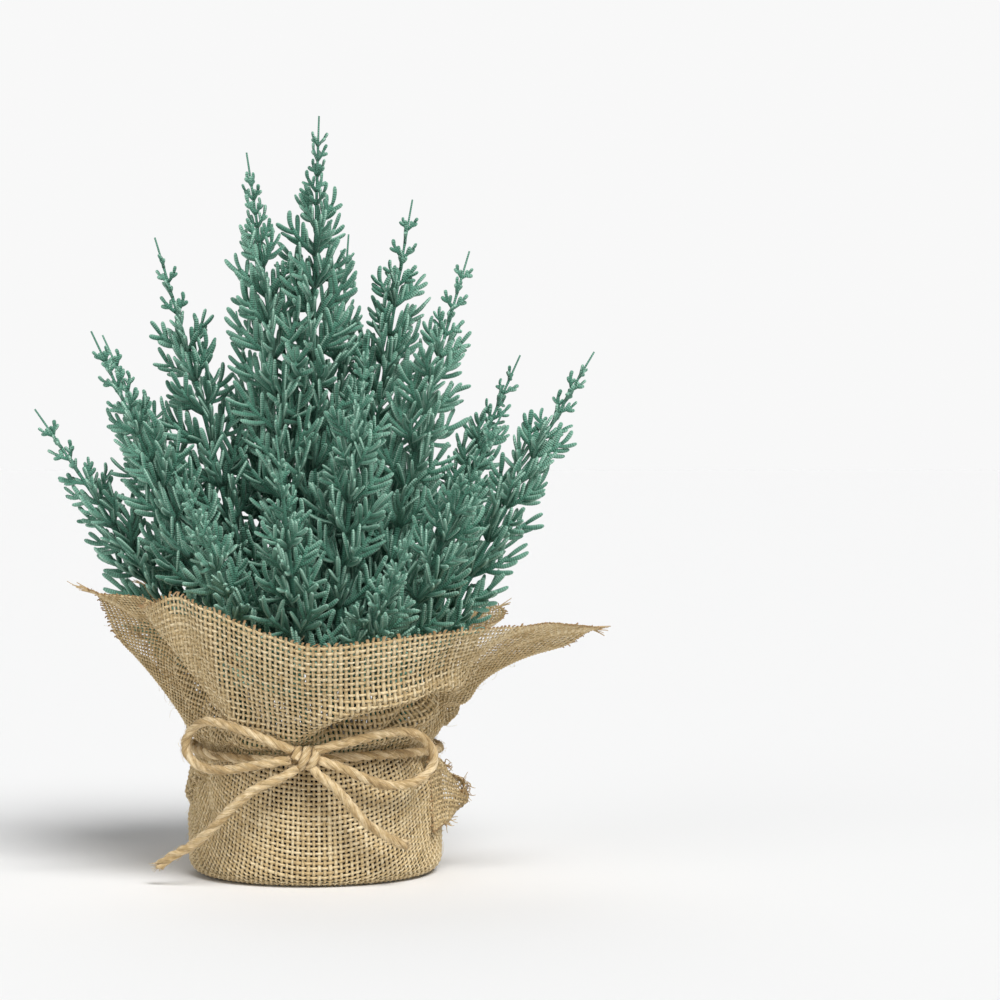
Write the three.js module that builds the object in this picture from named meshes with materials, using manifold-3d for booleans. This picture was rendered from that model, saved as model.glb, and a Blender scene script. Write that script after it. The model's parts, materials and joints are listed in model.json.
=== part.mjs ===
// Artificial tabletop tree: moulded cypress sprays wired into the foam of a weighted pot, which is
// wrapped in one square of burlap and tied with a twine bow.
// Millimetres, +Z up, front towards -Y, origin at the centre of the base's underside.
import * as THREE from 'three';
import { mergeVertices } from 'three/addons/utils/BufferGeometryUtils.js';
import Module from 'manifold-3d';

const wasm = await Module();
wasm.setup();

// ---------------------------------------------------------------- driving dimensions
const GAP = 0.3; // clearance that touching pieces keep

const cloth = {
  thickness: 2.0, // burlap with its slack
  reach: { front: 170, back: 130, left: 152, right: 148 }, // from the base's centre to each cut edge
  baseRadius: 58, // mid-surface of the cloth
  fillet: 7,
  waistRadius: 53,
  waistHeight: 61,
};

const pot = { radius: 51.2, wall: 2.0, floor: 2.5, top: 57, chamfer: 2.5, sides: 28 };
const ballast = { height: 14, chamfer: 1.5 };
const foam = { shoulder: 55, top: 67, roundness: 0.96, steps: 4 };
const twine = {
  radius: 2.25,
  sides: 8,
  ringSteps: 36,
  ringDrop: 3, // the tie lies this far below the waist's upper edge
  ringSlack: 0.9,
  knotRadius: 5.2,
  knotSquash: 0.82,
};
const wire = { radius: 1.0, sides: 6, depth: 28 };
const stem = {
  footRadius: 1.9,
  tipRadius: 0.5,
  sides: 6,
  steps: 6,
  ballRadius: 1.9, // the round foot that turns about the hinge
  clearance: 5, // the hinge stands this far above the foam
  bow: 0.035, // sag of the stem as a share of its length
};
const fan = {
  thickness: 1.2,
  halfWidth: 4.6,
  widest: 0.6, // share of the length at which the paddle is widest
  tipLength: 10,
  maxLength: 29,
  grownAfter: 60, // distance below the first whorl at which fans reach their full length
  firstFromTip: 26,
  lastFromFoot: 34,
  perWhorl: 3,
  whorlPitch: 25,
  whorlTurn: 137.5,
  lean: 40, // from the stem, in degrees
};

// Tip of each spray: where its bare spike ends. The foot stands at a fixed share of the tip's offset.
const FOOT_SHARE = 0.3;
const sprayTips = [
  [1.9, 4, 350],
  [-31.4, -6, 332],
  [46.6, 48, 315],
  [-74.4, 12, 294],
  [71.5, 0, 287.5],
  [16, 44, 298],
  [-101, -28, 249],
  [-99.5, 24, 249],
  [24.2, -48, 248],
  [130, 4, 241],
  [99.3, 62, 241],
  [-38, 62, 262],
  [-128, -10, 214],
  [83.6, -52, 212],
  [-17.1, -78, 202],
  [-62, -62, 186],
  [2, 92, 215],
  [58, 86, 222],
  [-72, 78, 208],
  [43.1, -88, 163],
];

// Bending range of a spray, in degrees about its foot: a little inward, and further outward for the
// sprays that stand at the outside, where no neighbour stops them.
const bend = { inward: -2, outwardInner: 2, outwardOuter: 8, outerOffset: 130 };

const colours = {
  burlap: [0xb89a6a, 0.95, 0],
  plastic: [0x3b3a38, 0.6, 0],
  cement: [0xa9a6a0, 0.9, 0],
  foam: [0x4f6b4a, 0.95, 0],
  twine: [0xb08a55, 0.9, 0],
  steel: [0x8f9394, 0.4, 1],
  foliage: [0x6f9c8b, 0.8, 0],
};

const rad = THREE.MathUtils.degToRad;
const v3 = (x, y, z) => new THREE.Vector3(x, y, z);

function material(name) {
  const [color, roughness, metalness] = colours[name];
  return new THREE.MeshStandardMaterial({ color, roughness, metalness, side: THREE.FrontSide });
}

const tree = new THREE.Group();

function addPart(name, geometry, finish, position = v3(0, 0, 0)) {
  const mesh = new THREE.Mesh(geometry, material(finish));
  mesh.name = name;
  mesh.position.copy(position);
  tree.add(mesh);
  return mesh;
}

// ---------------------------------------------------------------- solids and booleans
function toManifold(geometry) {
  const bare = geometry.clone();
  bare.deleteAttribute('normal');
  bare.deleteAttribute('uv');
  const merged = mergeVertices(bare, 1e-4);
  return new wasm.Manifold(new wasm.Mesh({
    numProp: 3,
    vertProperties: new Float32Array(merged.attributes.position.array),
    triVerts: new Uint32Array(merged.index.array),
  }));
}

function toGeometry(manifold) {
  const mesh = manifold.getMesh();
  const geometry = new THREE.BufferGeometry();
  geometry.setAttribute('position', new THREE.BufferAttribute(mesh.vertProperties, 3));
  geometry.setIndex(new THREE.BufferAttribute(mesh.triVerts, 1));
  geometry.computeVertexNormals();
  return geometry;
}

// Closed skin over a stack of rings, each the same number of points, with a point at either end.
function skinRings(startPoint, rings, endPoint) {
  const count = rings[0].length;
  const points = [startPoint, ...rings.flat(), endPoint];
  const last = points.length - 1;
  const index = [];
  for (let i = 0; i < count; i += 1) {
    const next = (i + 1) % count;
    index.push(0, 1 + next, 1 + i);
    for (let ring = 0; ring < rings.length - 1; ring += 1) {
      const low = 1 + ring * count;
      const high = low + count;
      index.push(low + i, low + next, high + next);
      index.push(low + i, high + next, high + i);
    }
    index.push(last, last - count + i, last - count + next);
  }
  const geometry = new THREE.BufferGeometry();
  geometry.setAttribute('position', new THREE.Float32BufferAttribute(points.flatMap((p) => p.toArray()), 3));
  geometry.setIndex(index);
  geometry.computeVertexNormals();
  return geometry;
}

function lathe(profile, segments) {
  const geometry = new THREE.LatheGeometry(profile.map(([r, z]) => new THREE.Vector2(r, z)), segments);
  geometry.rotateX(Math.PI / 2);
  return geometry;
}

// ---------------------------------------------------------------- burlap wrap
// Smooth value of a rising table [[x, value, ...], ...] at x, by cubic pieces.
function smoothTable(table, x, column) {
  let k = 0;
  while (k < table.length - 2 && x > table[k + 1][0]) k += 1;
  const slope = (i) => {
    const low = table[Math.max(i - 1, 0)];
    const high = table[Math.min(i + 1, table.length - 1)];
    return (high[column] - low[column]) / (high[0] - low[0]);
  };
  const [a, b] = [table[k], table[k + 1]];
  const span = b[0] - a[0];
  const t = (x - a[0]) / span;
  const ease = t * t * (3 - 2 * t);
  return a[column] * (1 - ease) + b[column] * ease
    + span * t * (1 - t) * ((1 - t) * slope(k) - t * slope(k + 1));
}

// Where each direction of the flat square ends up round the pot, in degrees from the front: the
// front stays smooth and wide, and the sides take up the gathers.
const turnTable = [
  [-180, -180], [-130.5, -125], [-85, -92], [-41.8, -63.3], [-20, -38], [0, 0],
  [20, 40], [41, 72.6], [85, 98], [131.3, 128.7], [180, 180],
];

// The collar's rim: direction round the pot in degrees, radius, height, and belly, which is how far
// the cloth between waist and rim hangs outward and down, or inward and up where it is negative.
const rimTable = [
  [-180, 66, 79, 4], [-152, 80, 98, 0], [-125, 104, 128, -8], [-108, 80, 102, -3], [-92, 66, 91, 1],
  [-76, 83, 111, -5], [-63.3, 116, 131, -11], [-55, 100, 125, -6], [-47, 98, 128.5, 0],
  [-40, 99, 132, 4], [-33, 96, 129.5, 6], [-23, 93, 122, 6], [-11.5, 91, 115, 6], [0, 90, 110.4, 6],
  [21, 92, 113.2, 6], [35, 97, 115.5, 3], [53.5, 106, 117, -6], [65, 121, 116.5, -15],
  [72.6, 134, 114, -20], [84, 84, 98, -5], [97, 65, 85, 1], [112, 74, 93, -2], [128.7, 114, 119, -10],
  [150, 82, 97, 0], [180, 66, 79, 4],
];

const wallArc = (cloth.fillet * Math.PI) / 2;
const flatRadius = cloth.baseRadius - cloth.fillet;
const wallStart = flatRadius + wallArc;
const wallHeight = cloth.waistHeight - cloth.fillet - cloth.thickness / 2;
const waistReach = wallStart + wallHeight;

// Radius and height of the cloth under and beside the pot, at a distance from the sheet's centre.
function wallProfile(distance) {
  const floor = cloth.thickness / 2;
  if (distance <= flatRadius) return [distance, floor];
  if (distance <= wallStart) {
    const angle = (distance - flatRadius) / cloth.fillet;
    return [
      flatRadius + cloth.fillet * Math.sin(angle),
      floor + cloth.fillet * (1 - Math.cos(angle)),
    ];
  }
  const t = (distance - wallStart) / wallHeight;
  const radius = cloth.baseRadius - (cloth.baseRadius - cloth.waistRadius) * t ** 3;
  return [radius, floor + cloth.fillet + wallHeight * t];
}

// Mid-surface of the tied sheet: turn is the direction in the flat sheet, and level runs 0 to 1
// from the sheet's centre to the waist and 1 to 2 from the waist to the cut edge.
function clothPoint(turn, level) {
  const gathered = smoothTable(turnTable, turn, 1);
  if (level <= 1) {
    const distance = level * waistReach;
    const [radius, height] = wallProfile(distance);
    const share = THREE.MathUtils.clamp((distance - flatRadius) / (waistReach - flatRadius), 0, 1);
    const angle = rad(turn + (gathered - turn) * share);
    return v3(radius * Math.sin(angle), -radius * Math.cos(angle), height);
  }
  const rimRadius = smoothTable(rimTable, gathered, 1);
  const rimHeight = smoothTable(rimTable, gathered, 2);
  const belly = smoothTable(rimTable, gathered, 3);
  const t = level - 1;
  const midRadius = (cloth.waistRadius + rimRadius) / 2 + belly;
  const midHeight = (cloth.waistHeight + rimHeight) / 2 - belly;
  const radius = cloth.waistRadius * (1 - t) ** 2 + 2 * midRadius * t * (1 - t) + rimRadius * t * t;
  const height = cloth.waistHeight * (1 - t) ** 2 + 2 * midHeight * t * (1 - t) + rimHeight * t * t;
  const angle = rad(gathered);
  return v3(radius * Math.sin(angle), -radius * Math.cos(angle), height);
}

// Outward normal of the mid-surface, from its two tangents.
function clothNormal(turn, level) {
  const step = 0.01;
  const along = clothPoint(turn, Math.min(level + step, 2)).sub(clothPoint(turn, level - step));
  const around = clothPoint(turn + 1, level).sub(clothPoint(turn - 1, level));
  return around.cross(along).normalize();
}

// Directions of the sheet's columns: even steps along each cut edge, with one at each corner.
function clothTurns() {
  const { front, back, left, right } = cloth.reach;
  const corners = [[-left, -back], [-left, front], [right, front], [right, -back]];
  const steps = [9, 18, 9, 10];
  const turns = [];
  corners.forEach((corner, side) => {
    const next = corners[(side + 1) % corners.length];
    for (let i = 0; i < steps[side]; i += 1) {
      const across = corner[0] + ((next[0] - corner[0]) * i) / steps[side];
      const ahead = corner[1] + ((next[1] - corner[1]) * i) / steps[side];
      turns.push(THREE.MathUtils.radToDeg(Math.atan2(across, ahead)));
    }
  });
  return turns;
}

function burlapWrap() {
  const turns = clothTurns();
  const bottomReaches = [flatRadius, flatRadius + wallArc / 2, wallStart];
  const bottomLevels = bottomReaches.map((distance) => distance / waistReach);
  const wallLevels = [0.76, 0.92, 1];
  const collarLevels = [1.14, 1.32, 1.54, 1.78, 2];
  const levels = [...bottomLevels, ...wallLevels, ...collarLevels];
  const half = cloth.thickness / 2;
  const ring = (level, offset) => turns.map((turn) => (
    clothPoint(turn, level).addScaledVector(clothNormal(turn, level), offset)
  ));
  const outer = levels.map((level) => ring(level, half));
  const inner = [...levels].reverse().map((level) => ring(level, -half));
  return skinRings(v3(0, 0, 0), [...outer, ...inner], v3(0, 0, cloth.thickness));
}

addPart('burlap_wrap', burlapWrap(), 'burlap');

// Loose corner of the sheet's overlap, held under the tie at the right: it leaves the wall and
// stands out as a short frayed flap.
const flap = { thickness: 1.4, top: 54, height: 33, turnStart: 62, turnEnd: 94, proud: 11 };

function flapPoint(across, down) {
  const angle = rad(THREE.MathUtils.lerp(flap.turnStart, flap.turnEnd, across));
  const [wallRadius] = wallProfile(waistReach - (cloth.waistHeight - flap.top) - flap.height * down);
  const clear = cloth.thickness / 2 + flap.thickness / 2 + 2 * GAP;
  const radius = wallRadius + clear + flap.proud * across ** 1.6 * Math.sin(Math.PI * (0.12 + 0.76 * down));
  const narrowing = 0.12 * across * flap.height;
  const height = flap.top - narrowing - (flap.height - 2 * narrowing) * down;
  return v3(radius * Math.sin(angle), -radius * Math.cos(angle), height);
}

function burlapFlap() {
  const columns = 5;
  const rows = 4;
  const half = flap.thickness / 2;
  const face = (row, sign) => Array.from({ length: columns + 1 }, (unused, i) => {
    const point = flapPoint(i / columns, row / rows);
    return point.multiply(v3(1 + (sign * half) / 60, 1 + (sign * half) / 60, 1));
  });
  const rings = [];
  for (let row = 0; row <= rows; row += 1) rings.push([...face(row, -1), ...face(row, 1).reverse()]);
  const middle = (row) => flapPoint(0.5, row / rows);
  return skinRings(middle(0), rings, middle(rows));
}

addPart('burlap_flap', burlapFlap(), 'burlap');

// ---------------------------------------------------------------- pot, ballast and foam
const potBottom = cloth.thickness + GAP;
const potInside = pot.radius - pot.wall;
const ballastBottom = potBottom + pot.floor + GAP;
const foamBottom = ballastBottom + ballast.height + GAP;
const fillRadius = potInside - GAP;

addPart('pot_liner', lathe([
  [0, potBottom],
  [pot.radius - pot.chamfer, potBottom],
  [pot.radius, potBottom + pot.chamfer],
  [pot.radius, pot.top],
  [potInside, pot.top],
  [potInside, potBottom + pot.floor],
  [0, potBottom + pot.floor],
], pot.sides), 'plastic');

addPart('cement_ballast', lathe([
  [0, ballastBottom],
  [fillRadius, ballastBottom],
  [fillRadius, ballastBottom + ballast.height - ballast.chamfer],
  [fillRadius - ballast.chamfer, ballastBottom + ballast.height],
  [0, ballastBottom + ballast.height],
], pot.sides), 'cement');

// Height of the domed foam at a distance from the axis.
function foamTop(distance) {
  const share = Math.min(distance / fillRadius, 1);
  return foam.shoulder + (foam.top - foam.shoulder) * Math.sqrt(1 - share * share * foam.roundness);
}

function foamBlock() {
  const profile = [[0, foamBottom], [fillRadius, foamBottom]];
  for (let i = 0; i <= foam.steps; i += 1) {
    const distance = fillRadius * (1 - i / foam.steps);
    profile.push([distance, foamTop(distance)]);
  }
  return lathe(profile, pot.sides);
}

// ---------------------------------------------------------------- sprays
// Everything that follows from a spray's tip: its foot, its stem curve and its hinge.
function planSpray(tip) {
  const top = v3(...tip);
  const offset = Math.hypot(tip[0], tip[1]);
  const outward = v3(tip[0], tip[1], 0).normalize();
  const foot = v3(tip[0] * FOOT_SHARE, tip[1] * FOOT_SHARE, 0);
  foot.z = foamTop(offset * FOOT_SHARE) + stem.clearance;
  const middle = foot.clone().add(top).multiplyScalar(0.5);
  middle.addScaledVector(outward, -stem.bow * foot.distanceTo(top));
  const curve = new THREE.QuadraticBezierCurve3(foot, middle, top);
  const outwardLimit = THREE.MathUtils.lerp(
    bend.outwardInner, bend.outwardOuter, Math.min(offset / bend.outerOffset, 1),
  );
  return {
    foot,
    curve,
    length: curve.getLength(),
    axis: v3(-outward.y, outward.x, 0),
    limits: [bend.inward, Math.round(outwardLimit)],
    fans: [],
  };
}

const sprays = sprayTips.map(planSpray);

const bendPoint = (spray, point, degrees) => (
  point.clone().sub(spray.foot).applyAxisAngle(spray.axis, rad(degrees)).add(spray.foot)
);

// A straight bar between two points with a clearance radius, at each end of the spray's range and
// at rest.
function bar(spray, start, end, radius) {
  const poses = [spray.limits[0], 0, spray.limits[1]].map((degrees) => (
    [bendPoint(spray, start, degrees), bendPoint(spray, end, degrees)]
  ));
  return { poses, radius };
}

// Shortest distance between two straight bars.
function barDistance([p1, q1], [p2, q2]) {
  const d1 = q1.clone().sub(p1);
  const d2 = q2.clone().sub(p2);
  const r = p1.clone().sub(p2);
  const a = d1.dot(d1);
  const e = d2.dot(d2);
  const b = d1.dot(d2);
  const c = d1.dot(r);
  const f = d2.dot(r);
  const denominator = a * e - b * b;
  const clamp = THREE.MathUtils.clamp;
  let s = denominator > 1e-9 ? clamp((b * f - c * e) / denominator, 0, 1) : 0;
  let t = (b * s + f) / e;
  if (t < 0 || t > 1) {
    t = clamp(t, 0, 1);
    s = clamp((b * t - c) / a, 0, 1);
  }
  return p1.clone().addScaledVector(d1, s).distanceTo(p2.clone().addScaledVector(d2, t));
}

// Pairs of poses that two neighbours can be in: one moved alone, or all moved together.
const posePairs = [[1, 1], [0, 1], [2, 1], [1, 0], [1, 2], [0, 0], [2, 2]];

const barsClear = (one, other) => posePairs.every(([i, j]) => (
  barDistance(one.poses[i], other.poses[j]) > one.radius + other.radius + GAP
));

// Points over the collar and the foam, which every fan stays clear of.
const collarPoints = [];
for (let turn = -180; turn < 180; turn += 2.5) {
  for (let level = 0.9; level <= 2.01; level += 0.1) collarPoints.push(clothPoint(turn, Math.min(level, 2)));
}

function clearOfPot(one) {
  return one.poses.every(([start, end]) => [0.35, 0.7, 1].every((share) => {
    const point = start.clone().lerp(end, share);
    const nearest = Math.min(...collarPoints.map((p) => p.distanceTo(point)));
    const overFoam = point.z - foamTop(Math.hypot(point.x, point.y)) > one.radius + 3;
    return overFoam && nearest > one.radius + cloth.thickness + 2;
  }));
}

// The stem as short bars, for the clearance of everything that stands near it.
for (const spray of sprays) {
  const points = spray.curve.getPoints(stem.steps);
  spray.bars = points.slice(1).map((point, i) => bar(spray, points[i], point, stem.footRadius));
}

// A whorl's fans stand round the stem at the golden angle and grow longer away from the tip.
function fanCandidates(spray) {
  const candidates = [];
  let whorl = 0;
  const lastFromTip = spray.length - fan.lastFromFoot;
  for (let fromTip = fan.firstFromTip; fromTip < lastFromTip; fromTip += fan.whorlPitch) {
    const t = 1 - fromTip / spray.length;
    const growth = Math.min((fromTip - fan.firstFromTip) / fan.grownAfter, 1);
    const length = fan.tipLength + (fan.maxLength - fan.tipLength) * growth;
    const tangent = spray.curve.getTangent(t);
    const side = v3(0, 0, 1).cross(tangent).normalize();
    if (side.lengthSq() < 0.5) side.set(1, 0, 0);
    for (let i = 0; i < fan.perWhorl; i += 1) {
      const around = rad(whorl * fan.whorlTurn + (360 / fan.perWhorl) * i);
      const away = side.clone().applyAxisAngle(tangent, around);
      const axis = away.clone().multiplyScalar(Math.sin(rad(fan.lean)));
      axis.addScaledVector(tangent, Math.cos(rad(fan.lean)));
      const root = spray.curve.getPoint(t);
      candidates.push({ root, axis, normal: tangent.clone().cross(away).normalize(), length, whorl });
    }
    whorl += 1;
  }
  return candidates;
}

// Fans are given out whorl by whorl from the tips down, and each is kept where it is clear of the
// collar and of its neighbours through their whole range of bending.
function growFans() {
  const waiting = sprays.flatMap((spray) => fanCandidates(spray).map((candidate) => ({ spray, candidate })));
  waiting.sort((one, other) => one.candidate.whorl - other.candidate.whorl);
  for (const { spray, candidate } of waiting) {
    for (const shrink of [1, 0.72, 0.5]) {
      const length = candidate.length * shrink;
      const end = candidate.root.clone().addScaledVector(candidate.axis, length);
      const start = candidate.root.clone().addScaledVector(candidate.axis, 3);
      const halfWidth = Math.min(fan.halfWidth, 1 + length * 0.22);
      const reach = bar(spray, start, end, halfWidth);
      const free = length > 6 && clearOfPot(reach) && sprays.every((other) => (
        other === spray || other.bars.every((otherBar) => barsClear(reach, otherBar))
      ));
      if (free) {
        spray.bars.push(reach);
        spray.fans.push({ ...candidate, length, halfWidth });
        break;
      }
    }
  }
}

growFans();

// A stem tapers from a round foot, which turns about the hinge, to a bare spike.
function stemGeometry(spray) {
  const rings = [];
  const ringAt = (centre, tangent, radius) => {
    const side = Math.abs(tangent.z) < 0.9 ? v3(0, 0, 1) : v3(1, 0, 0);
    const across = side.clone().cross(tangent).normalize();
    const ring = [];
    for (let i = 0; i < stem.sides; i += 1) {
      const around = across.clone().applyAxisAngle(tangent, (2 * Math.PI * i) / stem.sides);
      ring.push(centre.clone().addScaledVector(around, radius));
    }
    rings.push(ring);
  };
  const startTangent = spray.curve.getTangent(0);
  for (const angle of [-55, -20]) {
    const centre = spray.foot.clone().addScaledVector(startTangent, stem.ballRadius * Math.sin(rad(angle)));
    ringAt(centre, startTangent, stem.ballRadius * Math.cos(rad(angle)));
  }
  const spikeShare = 0.995;
  for (let i = 0; i <= stem.steps; i += 1) {
    const t = 0.01 + ((spikeShare - 0.01) * i) / stem.steps;
    const radius = THREE.MathUtils.lerp(stem.footRadius, stem.tipRadius, t ** 1.3);
    ringAt(spray.curve.getPoint(t), spray.curve.getTangent(t), radius);
  }
  const bottom = spray.foot.clone().addScaledVector(startTangent, -stem.ballRadius);
  return skinRings(bottom, rings, spray.curve.getPoint(1));
}

// A fan is one flat moulded paddle: pointed where it leaves the stem, widest past its middle.
function fanGeometry({ root, axis, normal, length, halfWidth }) {
  const paddle = new THREE.OctahedronGeometry(1, 0);
  const position = paddle.attributes.position;
  const across = normal.clone().cross(axis).normalize();
  for (let i = 0; i < position.count; i += 1) {
    const along = (position.getX(i) + 1) / 2;
    const share = along === 0.5 ? fan.widest : along;
    const point = root.clone().addScaledVector(axis, share * length);
    point.addScaledVector(across, position.getY(i) * halfWidth);
    point.addScaledVector(normal, position.getZ(i) * fan.thickness);
    position.setXYZ(i, point.x, point.y, point.z);
  }
  return paddle;
}

function sprayGeometry(spray) {
  const solid = spray.fans.reduce(
    (whole, one) => whole.add(toManifold(fanGeometry(one))),
    toManifold(stemGeometry(spray)),
  );
  const geometry = toGeometry(solid);
  geometry.translate(-spray.foot.x, -spray.foot.y, -spray.foot.z);
  return geometry;
}

// The wire that goes on from a stem into the foam, from just under its round foot: it is pushed
// straight down, and the stem is bent outward above it.
function wireGeometry(spray, radius, extra) {
  const rod = new THREE.CylinderGeometry(radius, radius, wire.depth + extra, wire.sides, 1);
  rod.rotateX(Math.PI / 2);
  const top = spray.foot.z - stem.ballRadius - GAP;
  rod.translate(spray.foot.x, spray.foot.y, top + extra / 2 - wire.depth / 2);
  return rod;
}

const drilledFoam = sprays.reduce(
  (block, spray) => block.subtract(toManifold(wireGeometry(spray, wire.radius + 2 * GAP, 4))),
  toManifold(foamBlock()),
);
addPart('foam_block', toGeometry(drilledFoam), 'foam');

sprays.forEach((spray, i) => {
  const number = String(i + 1).padStart(2, '0');
  addPart(`wire_foot_${number}`, wireGeometry(spray, wire.radius, 0), 'steel');
  const mesh = addPart(`spray_${number}`, sprayGeometry(spray), 'foliage', spray.foot);
  mesh.userData = { axis: spray.axis.toArray(), limits: spray.limits };
});

// ---------------------------------------------------------------- twine tie and bow
const ringHeight = cloth.waistHeight - twine.ringDrop;
const ringRadius = cloth.waistRadius + cloth.thickness / 2 + GAP + twine.radius + twine.ringSlack;
const knotDepth = ringRadius + twine.radius + GAP + twine.knotRadius * twine.knotSquash;
const knotCentre = v3(-5, -knotDepth, ringHeight + 1);

function twineRing() {
  const profile = [];
  for (let i = 0; i <= twine.sides; i += 1) {
    const angle = (-2 * Math.PI * i) / twine.sides;
    profile.push([ringRadius + twine.radius * Math.cos(angle), ringHeight - twine.radius * Math.sin(angle)]);
  }
  return lathe(profile, twine.ringSteps);
}

function bowKnot() {
  const lump = new THREE.IcosahedronGeometry(twine.knotRadius, 1);
  lump.scale(1, twine.knotSquash, 0.92);
  return lump;
}

addPart('twine_ring', twineRing(), 'twine');
addPart('bow_knot', bowKnot(), 'twine', knotCentre);

// Routes of the four free stretches of twine, each starting and ending on the knot's surface.
const routes = {
  bow_loop_left: [
    [-10.2, -66.0, 62.6], [-17.5, -66.5, 65.8], [-25, -66, 68.8], [-33, -64, 71.8], [-42.5, -60, 74.6],
    [-48, -57, 75.0], [-53, -53, 72.8], [-56.8, -49.6, 68.0], [-58, -47.5, 62.5], [-55.5, -48.5, 57.2],
    [-49, -52, 53.6], [-40.5, -57.5, 53.4], [-30.5, -62.5, 55.2], [-20.5, -66.5, 57.2],
    [-11.2, -67.2, 58.6],
  ],
  bow_loop_right: [
    [0.2, -66.2, 62.5], [7.5, -66.5, 64.6], [16, -65.8, 66.6], [26, -62.8, 68.8], [36.5, -58.5, 70.0],
    [42.5, -55.3, 69.2], [48, -52, 66.4], [51.8, -49.2, 61.6], [53.0, -48.5, 55.6], [49, -50.5, 49.4],
    [40.5, -54.5, 46], [31, -59, 46.4], [21.5, -63.2, 50], [12.2, -66.8, 54.6], [1.4, -67.4, 58.2],
  ],
  bow_tail_left: [
    [-8.3, -66.8, 55.0], [-13.2, -67.6, 51.8], [-19.5, -67.4, 49.0], [-23.2, -66.8, 47.5],
    [-26.7, -66.0, 45.6], [-29.8, -65.2, 43.4], [-32.6, -64.4, 41.0], [-37.5, -62.4, 36.6],
    [-42, -60, 31.6], [-47, -57, 26.2], [-52.5, -53.5, 21.2], [-58.5, -50, 17], [-62.6, -47.6, 14.6],
    [-66.6, -45.2, 11.8], [-70.5, -43, 8.6],
  ],
  bow_tail_right: [
    [-1.6, -67.0, 54.8], [2.6, -68.2, 51.0], [7.2, -68.6, 47.2], [9.6, -68.7, 45.0], [11.8, -68.6, 42.6],
    [13.8, -68.4, 40.2], [15.8, -68.2, 37.8], [17.9, -67.8, 35.2], [20, -67.2, 32.6],
    [22.4, -66.4, 30.3], [25, -65.4, 28.2], [30.2, -63, 24.4], [35.2, -60.2, 21.4],
    [37.7, -58.7, 20.2], [40.2, -57, 19],
  ],
};

function twineTube(points) {
  const route = new THREE.CatmullRomCurve3(points.map((p) => v3(...p)), false, 'centripetal');
  const section = new THREE.Shape();
  for (let i = 0; i < twine.sides; i += 1) {
    const angle = (2 * Math.PI * i) / twine.sides;
    const [x, y] = [twine.radius * Math.cos(angle), twine.radius * Math.sin(angle)];
    if (i === 0) section.moveTo(x, y);
    else section.lineTo(x, y);
  }
  section.closePath();
  const steps = Math.round(route.getLength() / (2.5 * twine.radius));
  return new THREE.ExtrudeGeometry(section, { steps, extrudePath: route, bevelEnabled: false });
}

for (const [name, points] of Object.entries(routes)) addPart(name, twineTube(points), 'twine');

export default tree;
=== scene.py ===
"""Artificial tabletop tree: woven burlap wrap, jute twine bow and moulded cypress sprays round the CAD frame.

Metres, +Z up, front towards -Y, in the CAD's own frame.
"""
import json
import math

import bpy
import numpy as np
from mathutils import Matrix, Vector


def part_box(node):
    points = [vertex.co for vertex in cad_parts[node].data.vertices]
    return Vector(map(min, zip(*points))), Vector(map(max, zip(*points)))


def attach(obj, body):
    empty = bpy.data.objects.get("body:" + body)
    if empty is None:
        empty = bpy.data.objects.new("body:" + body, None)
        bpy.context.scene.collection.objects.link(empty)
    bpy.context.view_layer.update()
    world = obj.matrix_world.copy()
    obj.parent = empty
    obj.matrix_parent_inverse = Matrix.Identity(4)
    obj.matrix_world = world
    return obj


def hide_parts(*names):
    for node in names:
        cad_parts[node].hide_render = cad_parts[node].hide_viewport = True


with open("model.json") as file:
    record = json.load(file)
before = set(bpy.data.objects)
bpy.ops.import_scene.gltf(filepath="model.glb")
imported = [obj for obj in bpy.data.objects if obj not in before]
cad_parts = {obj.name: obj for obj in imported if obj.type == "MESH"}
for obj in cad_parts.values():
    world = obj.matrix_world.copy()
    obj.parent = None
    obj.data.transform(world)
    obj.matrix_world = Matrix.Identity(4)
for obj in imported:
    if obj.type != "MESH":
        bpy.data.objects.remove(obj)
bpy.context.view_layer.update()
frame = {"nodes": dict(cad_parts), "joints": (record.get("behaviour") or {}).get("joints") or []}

MM = 0.001

# ---------------------------------------------------------------- camera, light and floor
CAMERA_PLACE = (0.0, -1.4, 0.200)
CAMERA_LENS = 108.6
AIM = Vector((0.0857, 0.0, 0.172))  # the tree stands left of the middle of the picture
BACKDROP, SOFT_LIGHT = (0.94, 0.94, 0.94, 1), (0.13, 0.132, 0.135, 1)
BACKDROP_TOP, SOFT_LIGHT_START = 0.15, 0.24  # heights in the surround, from 0 at the horizon to 1
FLOOR_COLOUR, FLOOR_HALF = (0.868, 0.867, 0.865, 1), 30


def turn_towards(item, target):
    item.rotation_mode = "QUATERNION"
    item.rotation_quaternion = (target - item.location).to_track_quat("-Z", "Y")


def make_camera():
    data = bpy.data.cameras.new("camera")
    data.lens = CAMERA_LENS
    data.sensor_width = 36
    data.clip_start = 0.05
    data.clip_end = 20
    camera = bpy.data.objects.new("camera", data)
    bpy.context.scene.collection.objects.link(camera)
    camera.location = CAMERA_PLACE
    turn_towards(camera, AIM)
    bpy.context.scene.camera = camera


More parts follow.
